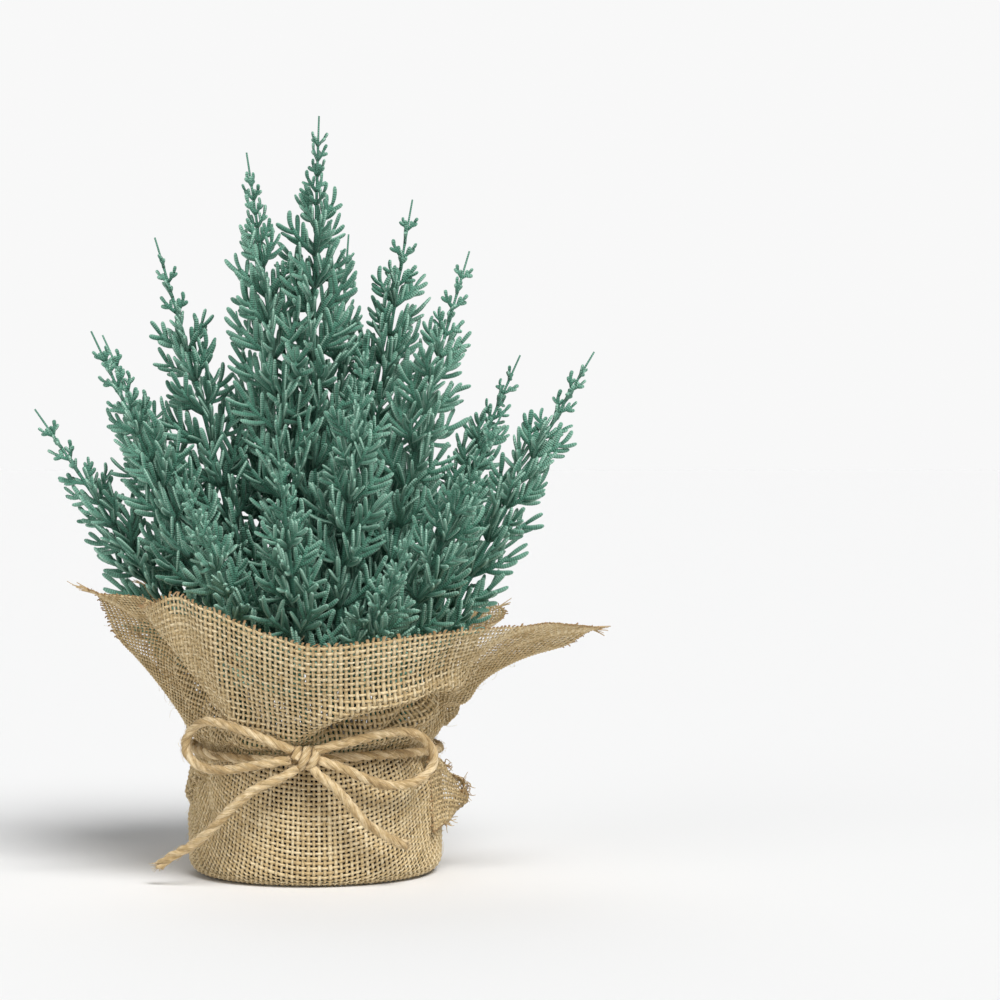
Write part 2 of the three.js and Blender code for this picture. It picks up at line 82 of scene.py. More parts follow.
def make_world():
    """A white surround near the horizon, where the backdrop is, and a softer grey light from above."""
    world = bpy.data.worlds.new("studio")
    bpy.context.scene.world = world
    world.use_nodes = True
    tree = world.node_tree
    place = tree.nodes.new("ShaderNodeTexCoord")
    split = tree.nodes.new("ShaderNodeSeparateXYZ")
    ramp = tree.nodes.new("ShaderNodeValToRGB")
    stops = ((BACKDROP_TOP, BACKDROP), (SOFT_LIGHT_START, SOFT_LIGHT))
    for element, (height, colour) in zip(ramp.color_ramp.elements, stops):
        element.position = height
        element.color = colour
    tree.links.new(place.outputs["Generated"], split.inputs[0])
    tree.links.new(split.outputs["Z"], ramp.inputs["Fac"])
    tree.links.new(ramp.outputs["Color"], tree.nodes["Background"].inputs["Color"])


def soft_sun(name, place, power, spread):
    """Even light from one side, softened over `spread` degrees like a large diffuser."""
    data = bpy.data.lights.new(name, "SUN")
    data.energy = power
    data.angle = math.radians(spread)
    light = bpy.data.objects.new(name, data)
    bpy.context.scene.collection.objects.link(light)
    light.location = place
    turn_towards(light, Vector((0, 0, 0)))


def make_floor():
    corners = [(x * FLOOR_HALF, y * FLOOR_HALF, 0) for x, y in ((-1, -1), (1, -1), (1, 1), (-1, 1))]
    data = bpy.data.meshes.new("floor")
    data.from_pydata(corners, [], [(0, 1, 2, 3)])
    floor = bpy.data.objects.new("floor", data)
    bpy.context.scene.collection.objects.link(floor)
    material = bpy.data.materials.new("floor")
    material.use_nodes = True
    shader = material.node_tree.nodes["Principled BSDF"]
    shader.inputs["Base Color"].default_value = FLOOR_COLOUR
    shader.inputs["Roughness"].default_value = 0.95
    shader.inputs["Specular IOR Level"].default_value = 0.1
    data.materials.append(material)


make_camera()
make_world()
make_floor()
soft_sun("key", place=(0.60, -1.3, 1.7), power=3.15, spread=30)
soft_sun("fill", place=(-1.4, -1.3, 0.8), power=0.42, spread=40)
soft_sun("back", place=(-0.3, 1.5, 1.6), power=0.50, spread=40)
bpy.context.scene.view_settings.view_transform = "Standard"


# ---------------------------------------------------------------- mesh helpers
def unit(vectors):
    return vectors / np.maximum(np.linalg.norm(vectors, axis=-1, keepdims=True), 1e-12)


def tube_faces(count, stations, sides, first):
    """Quads of `count` tubes, each `stations` rings of `sides` points, stored one after another."""
    tube = np.arange(count)[:, None, None] * stations * sides
    ring = np.arange(stations - 1)[None, :, None] * sides
    side = np.arange(sides)[None, None, :]
    beside = (side + 1) % sides
    low = first + tube + ring
    quads = np.stack([low + side, low + beside, low + sides + beside, low + sides + side], axis=-1)
    return quads.reshape(-1, 4)


def cap_faces(count, stations, sides, first):
    """A flat polygon over each end of each tube."""
    tube = np.arange(count)[:, None] * stations * sides + first
    start = tube + np.arange(sides)[::-1][None, :]
    end = tube + (stations - 1) * sides + np.arange(sides)[None, :]
    return [start, end]


class Tubes:
    """Collects closed tubes of any length into one mesh, with named values at every point."""

    def __init__(self):
        self.points, self.faces, self.values = [], [], {}
        self.count = 0

    def add(self, rings, **values):
        """rings: tubes x stations x sides x 3; each value spreads over tubes x stations x sides."""
        shape = rings.shape[:3]
        self.points.append(rings.reshape(-1, 3))
        self.faces.append(tube_faces(*shape, self.count))
        self.faces.extend(cap_faces(*shape, self.count))
        for name, value in values.items():
            self.values.setdefault(name, []).append(np.broadcast_to(value, shape).ravel())
        self.count += shape[0] * shape[1] * shape[2]

    def piece(self, name, material):
        by_size = {}
        for face in self.faces:
            by_size.setdefault(face.shape[1], []).append(face)
        faces = [np.vstack(group) for group in by_size.values()]
        loops = np.concatenate([group.ravel() for group in faces])
        sizes = np.concatenate([np.full(len(group), group.shape[1]) for group in faces])
        starts = np.concatenate([[0], np.cumsum(sizes)[:-1]])
        data = bpy.data.meshes.new(name)
        data.vertices.add(self.count)
        data.vertices.foreach_set("co", np.vstack(self.points).astype(np.float32).ravel())
        data.loops.add(len(loops))
        data.loops.foreach_set("vertex_index", loops.astype(np.int32))
        data.polygons.add(len(sizes))
        data.polygons.foreach_set("loop_start", starts.astype(np.int32))
        data.update(calc_edges=True)
        data.polygons.foreach_set("use_smooth", np.full(len(sizes), True))
        for label, parts in self.values.items():
            layer = data.attributes.new(label, "FLOAT", "POINT")
            layer.data.foreach_set("value", np.concatenate(parts).astype(np.float32))
        data.materials.append(material)
        piece = bpy.data.objects.new(name, data)
        bpy.context.scene.collection.objects.link(piece)
        return piece


def settle(piece, body, node=None):
    """Puts a finished piece on its body, in place of the CAD node that it stands for."""
    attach(piece, body)
    if node:
        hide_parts(node)


def ring_points(centre, side, up, across, through, sides):
    """Oval rings round an array of centres, with half-widths across, along side, and through, along up."""
    around = np.arange(sides) / sides * 2 * math.pi
    return (centre[..., None, :]
            + side[..., None, :] * (across[..., None] * np.cos(around))[..., None]
            + up[..., None, :] * (through[..., None] * np.sin(around))[..., None])


def add_fibre(tubes, points, width, tone, cut=0.0, sides=3):
    """One loose jute fibre, with the values that the jute material reads."""
    _, side, up = carried_frames(points)
    rings = ring_points(points, side, up, width, width, sides)[None]
    tubes.add(rings, tone=tone, cut=cut, along=0.0, round_x=0.0, round_y=0.0)


def carried_frames(points):
    """Tangent, side and up of a line of points, carried along without twist."""
    tangents = unit(np.gradient(points, axis=0))
    reference = (0.0, 0.0, 1.0) if abs(tangents[0][2]) < 0.9 else (1.0, 0.0, 0.0)
    side = unit(np.cross(tangents[0], reference))
    sides = [side]
    for tangent in tangents[1:]:
        side = unit(side - tangent * side.dot(tangent))
        sides.append(side)
    sides = np.array(sides)
    return tangents, sides, np.cross(tangents, sides)


def travelled_along(line):
    return np.concatenate([[0], np.cumsum(np.linalg.norm(np.diff(line, axis=0), axis=1))])


def smooth_line(points, step):
    """Even steps along a centripetal curve through given points."""
    points = np.asarray(points, dtype=float)
    padded = np.vstack([2 * points[0] - points[1], points, 2 * points[-1] - points[-2]])
    out = []
    for p0, p1, p2, p3 in zip(padded, padded[1:], padded[2:], padded[3:]):
        t0 = 0.0
        t1 = t0 + math.sqrt(np.linalg.norm(p1 - p0))
        t2 = t1 + math.sqrt(np.linalg.norm(p2 - p1))
        t3 = t2 + math.sqrt(np.linalg.norm(p3 - p2))
        t = np.linspace(t1, t2, 24, endpoint=False)[:, None]
        a1 = (t1 - t) / (t1 - t0) * p0 + (t - t0) / (t1 - t0) * p1
        a2 = (t2 - t) / (t2 - t1) * p1 + (t - t1) / (t2 - t1) * p2
        a3 = (t3 - t) / (t3 - t2) * p2 + (t - t2) / (t3 - t2) * p3
        b1 = (t2 - t) / (t2 - t0) * a1 + (t - t0) / (t2 - t0) * a2
        b2 = (t3 - t) / (t3 - t1) * a2 + (t - t1) / (t3 - t1) * a3
        out.append((t2 - t) / (t2 - t1) * b1 + (t - t1) / (t2 - t1) * b2)
    line = np.vstack(out + [points[-1:]])
    travelled = travelled_along(line)
    even = np.linspace(0, travelled[-1], max(int(round(travelled[-1] / step)), 4) + 1)
    return np.stack([np.interp(even, travelled, line[:, k]) for k in range(3)], axis=1), travelled[-1]


def noise_line(rng, count, spacing):
    """Smooth values round 0, one per step, with a new random value every `spacing` steps."""
    knots = rng.uniform(-1, 1, int(count / spacing) + 3)
    place = np.arange(count) / spacing
    low = place.astype(int)
    t = place - low
    t = t * t * (3 - 2 * t)
    return knots[low] * (1 - t) + knots[low + 1] * t


# ---------------------------------------------------------------- material helpers
class Nodes:
    """Short names for building one material's node tree."""

    def __init__(self, name, roughness, sheen=0.0, sheen_tint=(1, 1, 1, 1)):
        self.material = bpy.data.materials.new(name)
        self.material.use_nodes = True
        self.tree = self.material.node_tree
        self.shader = self.tree.nodes["Principled BSDF"]
        self.shader.inputs["Roughness"].default_value = roughness
        self.shader.inputs["Specular IOR Level"].default_value = 0.25
        self.shader.inputs["Sheen Weight"].default_value = sheen
        self.shader.inputs["Sheen Roughness"].default_value = 0.5
        self.shader.inputs["Sheen Tint"].default_value = sheen_tint

    def attribute(self, name):
        node = self.tree.nodes.new("ShaderNodeAttribute")
        node.attribute_name = name
        return node.outputs["Fac"]

    def noise(self, scale, detail):
        place = self.tree.nodes.new("ShaderNodeTexCoord")
        node = self.tree.nodes.new("ShaderNodeTexNoise")
        node.inputs["Scale"].default_value = scale
        node.inputs["Detail"].default_value = detail
        node.inputs["Roughness"].default_value = 0.55
        self.tree.links.new(place.outputs["Object"], node.inputs["Vector"])
        return node.outputs["Fac"]

    def streaks(self, x, y, z):
        """Noise over a place given by three values."""
        place = self.tree.nodes.new("ShaderNodeCombineXYZ")
        node = self.tree.nodes.new("ShaderNodeTexNoise")
        node.inputs["Scale"].default_value = 1.0
        node.inputs["Detail"].default_value = 3.0
        for socket, value in zip(place.inputs, (x, y, z)):
            self.tree.links.new(value, socket)
        self.tree.links.new(place.outputs[0], node.inputs["Vector"])
        return node.outputs["Fac"]

    def math(self, kind, first, second=0.0):
        node = self.tree.nodes.new("ShaderNodeMath")
        node.operation = kind
        for socket, value in zip(node.inputs, (first, second)):
            if isinstance(value, (int, float)):
                socket.default_value = value
            else:
                self.tree.links.new(value, socket)
        return node.outputs[0]

    def weighted(self, *terms, plus=0.0):
        """The sum of values, each times its weight."""
        total = plus
        for value, weight in terms:
            total = self.math("ADD", self.math("MULTIPLY", value, weight), total)
        return total

    def ramp(self, value, stops):
        node = self.tree.nodes.new("ShaderNodeValToRGB")
        elements = node.color_ramp.elements
        while len(elements) < len(stops):
            elements.new(0.5)
        for element, (place, colour) in zip(elements, stops):
            element.position = place
            element.color = (*colour, 1)
        self.tree.links.new(value, node.inputs["Fac"])
        return node.outputs["Color"]

    def mix(self, share, first, second):
        """A colour that goes from the value first to the plain colour second as share goes from 0 to 1."""
        node = self.tree.nodes.new("ShaderNodeMix")
        node.data_type = "RGBA"
        self.tree.links.new(share, node.inputs[0])
        self.tree.links.new(first, node.inputs[6])
        node.inputs[7].default_value = (*second, 1)
        return node.outputs[2]

    def colour(self, value):
        self.tree.links.new(value, self.shader.inputs["Base Color"])

    def rough(self, value):
        self.tree.links.new(value, self.shader.inputs["Roughness"])

    def bump(self, height, strength, distance):
        node = self.tree.nodes.new("ShaderNodeBump")
        node.inputs["Strength"].default_value = strength
        node.inputs["Distance"].default_value = distance
        self.tree.links.new(height, node.inputs["Height"])
        self.tree.links.new(node.outputs["Normal"], self.shader.inputs["Normal"])


def jute_material(name, dark, middle, light, cut, strands):
    """Spun jute: tone per yarn, mottled, streaked lengthwise by its fibres, browner where it is cut.

    strands sets how many streaks lie round a yarn.
    """
    nodes = Nodes(name, 0.92, sheen=0.22, sheen_tint=(1.0, 0.92, 0.76, 1))
    mottle = nodes.noise(420.0, 4.0)
    round_x = nodes.math("MULTIPLY", nodes.attribute("round_x"), strands)
    round_y = nodes.math("MULTIPLY", nodes.attribute("round_y"), strands)
    lengthwise = nodes.math("MULTIPLY", nodes.attribute("along"), 0.30)
    fibre = nodes.streaks(lengthwise, round_x, round_y)
    # on the woven cloth the tone also carries painted light and shade from add_yarns: lighter over crossings,
    # darker under them and in hollows
    mixed = nodes.weighted((nodes.attribute("tone"), 0.42), (mottle, 0.35), (fibre, 0.60))
    base = nodes.ramp(mixed, [(0.34, dark), (0.66, middle), (0.96, light)])
    nodes.colour(nodes.mix(nodes.attribute("cut"), base, cut))
    nodes.bump(fibre, 0.9, 0.0004)
    nodes.rough(nodes.weighted((mottle, 0.12), plus=0.84))
    return nodes.material


RIDGE_PITCH = 1.0  # mm between the fine ridges across a finger of foliage


def foliage_material():
    """Flocked moulded cypress: frosted green, paler on edges and tips, with fine cross ridges and painted
    shade in the grooves between them.
    """
    nodes = Nodes("cypress", 0.8, sheen=0.12, sheen_tint=(0.80, 1.0, 0.93, 1))
    nodes.shader.inputs["Specular IOR Level"].default_value = 0.15
    mottle = nodes.noise(160.0, 3.0)
    grain = nodes.noise(3800.0, 2.0)
    # the tone attribute also carries painted light and shade from make_spray: fans facing out of the tree
    # paler, those facing in darker
    mixed = nodes.weighted((nodes.attribute("tone"), 0.6), (mottle, 0.45), (grain, 0.12))
    base = nodes.ramp(mixed, [
        (0.20, (0.012, 0.054, 0.034)),
        (0.55, (0.086, 0.250, 0.176)),
        (0.85, (0.240, 0.470, 0.360)),
    ])
    ridge = nodes.math("SINE", nodes.math("MULTIPLY", nodes.attribute("along"), 2 * math.pi / RIDGE_PITCH))
    # painted shade: the colour goes towards dark green in the grooves between the fine ridges
    ridged_with_painted_shade = nodes.mix(nodes.weighted((ridge, -0.25), plus=0.25), base, (0.026, 0.104, 0.070))
    frost = nodes.math("MULTIPLY", nodes.math("POWER", nodes.attribute("edge"), 2.4), 0.75)
    nodes.colour(nodes.mix(frost, ridged_with_painted_shade, (0.420, 0.640, 0.520)))
    nodes.bump(nodes.weighted((ridge, 0.5), (grain, 0.5)), 0.75, 0.0003)
    nodes.rough(nodes.weighted((mottle, 0.15), plus=0.70))
    return nodes.material


def mottled_material(name, dark, light, roughness, scale, metallic=0.0, bump=0.3):
    """Plain moulded or cast surface with fine mottling."""
    nodes = Nodes(name, roughness)
    nodes.shader.inputs["Metallic"].default_value = metallic
    coarse = nodes.noise(scale, 4.0)
    fine = nodes.noise(scale * 7, 3.0)
    mixed = nodes.weighted((coarse, 0.6), (fine, 0.4))
    nodes.colour(nodes.ramp(mixed, [(0.35, dark), (0.65, light)]))
    nodes.rough(nodes.weighted((fine, 0.2), plus=roughness - 0.1))
    nodes.bump(mixed, bump, 0.0004)
    return nodes.material


BURLAP = jute_material("burlap", (0.190, 0.115, 0.045), (0.580, 0.432, 0.222), (0.830, 0.705, 0.470),
                       (0.300, 0.165, 0.068), strands=1.1)
TWINE = jute_material("jute_twine", (0.180, 0.100, 0.036), (0.500, 0.355, 0.175), (0.880, 0.730, 0.480),
                      (0.340, 0.215, 0.105), strands=2.4)
CYPRESS = foliage_material()
FOAM = mottled_material("florist_foam", (0.020, 0.040, 0.018), (0.055, 0.090, 0.040), 0.95, 300.0, bump=0.8)
POT = mottled_material("pot_plastic", (0.018, 0.016, 0.014), (0.032, 0.029, 0.026), 0.6, 90.0)
CEMENT = mottled_material("cast_cement", (0.24, 0.23, 0.21), (0.42, 0.40, 0.37), 0.92, 180.0, bump=0.7)
STEEL = mottled_material("wire_steel", (0.30, 0.30, 0.29), (0.50, 0.50, 0.49), 0.42, 500.0, metallic=1.0)

# ---------------------------------------------------------------- twine
TWINE_RADIUS = 2.25 * MM
PLIES, PLY_SHARE, LAY_SHARE = 3, 0.60, 0.40  # radii of a ply and of its lay, as shares of the twine's
LAY_PITCH = 19 * MM
FRAY_LENGTH = 5 * MM
HAIR_SPACING = 0.0009

ROUTES_MM = {
    "bow_loop_left": [
        (-10.2, -66.0, 62.6), (-17.5, -66.5, 65.8), (-25, -66, 68.8), (-33, -64, 71.8), (-42.5, -60, 74.6),
        (-48, -57, 75.0), (-53, -53, 72.8), (-56.8, -49.6, 68.0), (-58, -47.5, 62.5), (-55.5, -48.5, 57.2),
        (-49, -52, 53.6), (-40.5, -57.5, 53.4), (-30.5, -62.5, 55.2), (-20.5, -66.5, 57.2),
        (-11.2, -67.2, 58.6),
    ],
    "bow_loop_right": [
        (0.2, -66.2, 62.5), (7.5, -66.5, 64.6), (16, -65.8, 66.6), (26, -62.8, 68.8), (36.5, -58.5, 70.0),
        (42.5, -55.3, 69.2), (48, -52, 66.4), (51.8, -49.2, 61.6), (53.0, -48.5, 55.6), (49, -50.5, 49.4),
        (40.5, -54.5, 46), (31, -59, 46.4), (21.5, -63.2, 50), (12.2, -66.8, 54.6), (1.4, -67.4, 58.2),
    ],
    "bow_tail_left": [
        (-8.3, -66.8, 55.0), (-13.2, -67.6, 51.8), (-19.5, -67.4, 49.0), (-23.2, -66.8, 47.5),
        (-26.7, -66.0, 45.6), (-29.8, -65.2, 43.4), (-32.6, -64.4, 41.0), (-37.5, -62.4, 36.6),
        (-42, -60, 31.6), (-47, -57, 26.2), (-52.5, -53.5, 21.2), (-58.5, -50, 17), (-62.6, -47.6, 14.6),
        (-66.6, -45.2, 11.8), (-70.5, -43, 8.6),
    ],
    "bow_tail_right": [
        (-1.6, -67.0, 54.8), (2.6, -68.2, 51.0), (7.2, -68.6, 47.2), (9.6, -68.7, 45.0), (11.8, -68.6, 42.6),
        (13.8, -68.4, 40.2), (15.8, -68.2, 37.8), (17.9, -67.8, 35.2), (20, -67.2, 32.6),
        (22.4, -66.4, 30.3), (25, -65.4, 28.2), (30.2, -63, 24.4), (35.2, -60.2, 21.4),
        (37.7, -58.7, 20.2), (40.2, -57, 19),
    ],
}


def add_rope(tubes, line, radius, seed, closed=False, frayed=False):
    """A laid twine along a line: plies wound round each other, with slubs and, if cut, an open end."""
    sides = 10
    stations = len(line)
    rng = np.random.default_rng(seed)
    tangents, side, up = carried_frames(line)
    travelled = travelled_along(line)
    length = travelled[-1]
    turns = travelled / LAY_PITCH
    if closed:  # a whole number of turns, so that the plies meet
        turns = travelled / length * round(length / LAY_PITCH)
    ply_radius, lay_radius = radius * PLY_SHARE, radius * LAY_SHARE
    around = np.arange(sides) / sides * 2 * math.pi
    near_end = np.clip((travelled - length + FRAY_LENGTH) / FRAY_LENGTH, 0, 1) * (1.0 if frayed else 0.0)
    for ply in range(PLIES):
        angle = 2 * math.pi * (turns + ply / PLIES) + seed
        away = side * np.cos(angle)[:, None] + up * np.sin(angle)[:, None]
        centre = line + away * (lay_radius + near_end * ply_radius * 0.6)[:, None]
        ply_tangent = unit(np.gradient(centre, axis=0))
        across = unit(np.cross(ply_tangent, away))
        out = np.cross(across, ply_tangent)
        swell = ply_radius * (1 + 0.11 * noise_line(rng, stations, 5) - 0.25 * near_end)
        rings = ring_points(centre, out, across, swell, swell, sides)
        tone = 0.5 + 0.26 * noise_line(rng, stations, 12) + 0.16 * rng.uniform(-1, 1)
        cut = np.clip(1 - (length - travelled) / (1 * MM), 0, 1) * (0.0 if closed else 0.6)
        along = (travelled / MM + 97.0 * ply)[None, :, None]
        tubes.add(rings[None], tone=tone[None, :, None], cut=cut[None, :, None], along=along,
                  round_x=np.cos(around), round_y=np.sin(around))
    add_rope_fuzz(tubes, rng, line, side, up, radius, hairs=int(length / HAIR_SPACING))
    if frayed:
        add_tassel(tubes, rng, line[-1], tangents[-1], side[-1], up[-1], radius)


def add_rope_fuzz(tubes, rng, line, side, up, radius, hairs):
    """Loose jute fibres that stand off a twine."""
    for _ in range(hairs):
        k = rng.integers(2, len(line) - 2)
        turn = rng.uniform(0, 2 * math.pi)
        away = side[k] * math.cos(turn) + up[k] * math.sin(turn)
        along = unit(line[k + 1] - line[k - 1]) * rng.choice((-1, 1))
        length = rng.uniform(0.0018, 0.0050)
        t = np.linspace(0, 1, 5)[:, None]
        lift = 0.0002 + 0.0011 * rng.random() ** 2
        bend = np.cross(along, away) * rng.normal(0, 0.30)
        sweep = (along + bend * t) * length * t
        points = line[k] + away * radius * 0.94 + sweep + away * lift * np.sin(t * 2.4)
        if points[:, 2].min() > 0.0004:
            add_fibre(tubes, points, np.full(5, 0.00007), rng.uniform(0.5, 1.1))


def add_tassel(tubes, rng, end, tangent, side, up, radius):
    """The short loose fibres of a cut twine end."""
    for _ in range(26):
        turn, out = rng.uniform(0, 2 * math.pi), radius * math.sqrt(rng.random()) * 0.9
        away = side * math.cos(turn) + up * math.sin(turn)
        length = rng.uniform(0.0012, 0.0038)
        t = np.linspace(0, 1, 4)[:, None]
        points = end - tangent * 0.001 + away * out + (tangent + away * 0.5 * t) * length * t
        add_fibre(tubes, points, np.linspace(0.00022, 0.00009, 4), rng.uniform(0.5, 1.0), cut=0.3)


def make_bow():
    """The four free stretches of the bow."""
    for number, (name, route) in enumerate(ROUTES_MM.items()):
        line, length = smooth_line(np.array(route) * MM, 0.0008)
        is_tail = "tail" in name
        tubes = Tubes()
        add_rope(tubes, line, TWINE_RADIUS, seed=20 + number, frayed=is_tail)
        piece = tubes.piece(name + "_twine", TWINE)
        settle(piece, "base", name)


def make_tie():
    """The turn of twine round the waist, and the knot's two wraps round it."""
    ring_radius, ring_height = 57.45 * MM, 58.0 * MM
    turns = np.linspace(0, 2 * math.pi, 420)
    ring = np.stack([ring_radius * np.sin(turns), -ring_radius * np.cos(turns),
                     ring_height + 0.7 * MM * np.sin(3 * turns)], axis=1)
    tubes = Tubes()
    add_rope(tubes, ring, TWINE_RADIUS * 0.97, seed=31, closed=True)
    piece = tubes.piece("waist_twine", TWINE)
    settle(piece, "base", "twine_ring")

    knot_centre = np.array([-5.0, -64.26, 59.0]) * MM
    wraps, wrap_radius, wrapped_half = 2.25, 3.3 * MM, 4.8 * MM
    angle = np.linspace(0, wraps * 2 * math.pi, 150)
    slant = 1.1 * MM * np.sin(angle + 0.6)
    helix = knot_centre + np.stack([
        wrapped_half * (2 * angle / angle[-1] - 1) + slant,
        -wrap_radius * np.cos(angle), wrap_radius * 1.12 * np.sin(angle)], axis=1)
    core = knot_centre + np.linspace(-1, 1, 40)[:, None] * np.array([5.8, 0, 0.6]) * MM
    tubes = Tubes()
    add_rope(tubes, helix, TWINE_RADIUS * 0.95, seed=33)
    add_rope(tubes, core, TWINE_RADIUS * 0.9, seed=34)
    piece = tubes.piece("knot_twine", TWINE)
    settle(piece, "base", "bow_knot")


make_bow()
make_tie()


# ---------------------------------------------------------------- the tied sheet of burlap
# the sheet's reach from its centre and the shape that it takes round the pot, in mm
SHEET_FRONT, SHEET_BACK, SHEET_LEFT, SHEET_RIGHT = 170.0, 130.0, 152.0, 148.0
BASE_RADIUS, FILLET, WAIST_RADIUS, WAIST_HEIGHT = 58.0, 7.0, 53.0, 61.0
CLOTH_HALF = 1.0  # mm from the floor to the middle of the cloth
POT_CLEAR = 53.0  # the cloth stays outside this radius where the pot is, between these heights
POT_LOW, POT_HIGH = 8, 66

# where each direction of the flat square ends up round the pot, in degrees from the front
TURN_TABLE = np.array([
    (-180, -180), (-130.5, -125), (-85, -92), (-41.8, -63.3), (-20, -38), (0, 0),
    (20, 40), (41, 72.6), (85, 98), (131.3, 128.7), (180, 180)], dtype=float)
# the collar's rim: direction round the pot, radius, height, belly between waist and rim. It is the
# CAD's, apart from a lower, closer rim behind the left pocket and small changes of belly.
RIM_TABLE = np.array([
    (-180, 66, 79, 4), (-152, 80, 98, 0), (-125, 104, 128, -8), (-108, 80, 102, -3), (-92, 64, 86, 1),
    (-76, 75, 98, -2), (-63.3, 116, 131, -8), (-55, 100, 125, -6), (-47, 98, 128.5, 0),
    (-40, 99, 132, 4), (-33, 96, 129.5, 6), (-23, 93, 122, 6), (-11.5, 91, 115, 6), (0, 90, 110.4, 6),
    (21, 92, 113.2, 6), (35, 97, 115.5, 3), (53.5, 106, 117, -7), (65, 121, 116.5, -17),
    (72.6, 134, 114, -22), (84, 84, 98, -5), (97, 65, 85, 1), (112, 74, 93, -2), (128.7, 114, 119, -10),
    (150, 82, 97, 0), (180, 66, 79, 4)], dtype=float)

FLAT_RADIUS = BASE_RADIUS - FILLET
WALL_START = FLAT_RADIUS + FILLET * math.pi / 2
WALL_HEIGHT = WAIST_HEIGHT - FILLET - CLOTH_HALF
WAIST_REACH = WALL_START + WALL_HEIGHT

# Creases that the cloth falls into. Each runs through points (direction round the pot in degrees,
# distance up the cloth from the waist), with a half-width, a depth and the height of the ridge beside
# it, all in mm. The ridge is on the left of the crease's run, or on the right where it is negative.
CREASES = [
    ([(-57, 104), (-56, 82), (-54, 62), (-51, 44), (-48, 29), (-44, 17)], 6.3, 18, 4),  # the left pocket
    ([(-61, 75), (-59, 65), (-56, 54), (-52, 43)], 4.8, 14, 3),  # its deep heart
    ([(-58, 36), (-50, 25), (-42, 17), (-32, 12), (-20, 9), (-8, 6)], 2.6, 4, 3.5),  # from it to the bow
    ([(-4, 7), (3, 13), (9, 17), (15, 20), (24, 23), (34, 26), (44, 30), (56, 32), (70, 27), (88, 14)],
     4.8, 11.5, 6),  # the long overhang above the tie
    ([(2, 8), (8, 11), (14, 13), (22, 15)], 3.2, 6, 0.5),  # the hollow at its left end
    ([(26, 8), (34, 13), (42, 19), (52, 27), (60, 30)], 2.6, 5, -3),  # the tucked corner under it
    ([(-62, 0), (-42, 0), (-24, 1), (-8, 1), (8, 3)], 3.4, 1, 5),  # the roll that hangs over the tie
    ([(96, 5), (100, 15), (96, 28)], 4.0, 4, 3),
    ([(-84, 5), (-90, 15), (-92, 26)], 4.0, 4, -3),
    ([(-104, 5), (-110, 16), (-106, 30)], 4.0, 4, 3),
    ([(150, 4), (156, 13), (150, 22)], 4.0, 4, 3),
    ([(-150, 4), (-158, 12), (-152, 22)], 4.0, 4, -3),
    ([(-52, -4), (-62, -10), (-72, -17), (-84, -25), (-96, -34)], 2.6, 3.4, -2.4),  # left of the base
    ([(60, -3), (64, -14), (66, -28), (64, -42)], 3.2, 2.6, -2.4),  # beside the loose corner
    ([(-26, -4), (-22, -13), (-20, -24)], 2.4, 1.4, 1.2),
    ([(-11, -4), (-9, -12), (-8, -20)], 2.0, 1.3, 1.0),
    ([(3, -4), (2, -12), (1, -22)], 2.0, 1.3, 1.0),
    ([(18, -4), (16, -14), (14, -22)], 2.4, 1.3, 1.1),
    ([(40, -4), (34, -13), (31, -24)], 2.6, 1.6, 1.2),
    ([(100, -5), (92, -18), (88, -32)], 3.2, 2.0, 1.8),
    ([(-128, -5), (-120, -18), (-114, -32)], 3.2, 2.0, 1.8),
    ([(140, -5), (146, -20), (150, -34)], 3.2, 2.0, 1.8),
    ([(-140, -5), (-148, -20), (-152, -34)], 3.2, 2.0, -1.8),
    ([(176, -5), (178, -18), (176, -30)], 3.0, 1.8, 1.5),
]
# the gathers: share of the spare length, folds round the cloth, where they start, how they wander
GATHERS = ((0.45, 17, 0.0, 1), (0.50, 29, 1.3, -1), (0.30, 46, 2.1, 1))
STEEP_SIDE, GENTLE_SIDE = 0.65, 1.35  # a crease's half-width under its ridge and away from it
MM_PER_DEGREE = 1.1  # round the cloth, near the waist


def smooth_table(table, x, column):
    """The CAD's own smooth curve through a rising table, for an array of x."""
    places, values = table[:, 0], table[:, column]
    slopes = np.empty(len(values))
    slopes[1:-1] = (values[2:] - values[:-2]) / (places[2:] - places[:-2])
    slopes[0] = (values[1] - values[0]) / (places[1] - places[0])
    slopes[-1] = (values[-1] - values[-2]) / (places[-1] - places[-2])
    k = np.clip(np.searchsorted(places, x) - 1, 0, len(places) - 2)
    span = places[k + 1] - places[k]
    t = (x - places[k]) / span
    ease = t * t * (3 - 2 * t)
    return (values[k] * (1 - ease) + values[k + 1] * ease
            + span * t * (1 - t) * ((1 - t) * slopes[k] - t * slopes[k + 1]))


def wall_profile(distance):
    """Radius and height of the cloth under and beside the pot."""
    turn = np.clip((distance - FLAT_RADIUS) / FILLET, 0, math.pi / 2)
    t = np.clip((distance - WALL_START) / WALL_HEIGHT, 0, 1)
    wall = BASE_RADIUS - (BASE_RADIUS - WAIST_RADIUS) * t ** 3
    rounded = FLAT_RADIUS + FILLET * np.sin(turn)
    radius = np.where(distance <= FLAT_RADIUS, distance, np.where(distance <= WALL_START, rounded, wall))
    height = CLOTH_HALF + FILLET * (1 - np.cos(turn)) + WALL_HEIGHT * t
    return radius, height


def edge_reach(turn):
    """Distance from the sheet's centre to its cut edge in each direction (radians)."""
    across, ahead = np.sin(turn), np.cos(turn)
    sideways = np.where(across > 0, SHEET_RIGHT, SHEET_LEFT) / np.maximum(np.abs(across), 1e-6)
    forward = np.where(ahead > 0, SHEET_FRONT, SHEET_BACK) / np.maximum(np.abs(ahead), 1e-6)
    return np.minimum(sideways, forward)


def curve_share(t, start, middle, end):
    return start * (1 - t) ** 2 + 2 * middle * t * (1 - t) + end * t * t


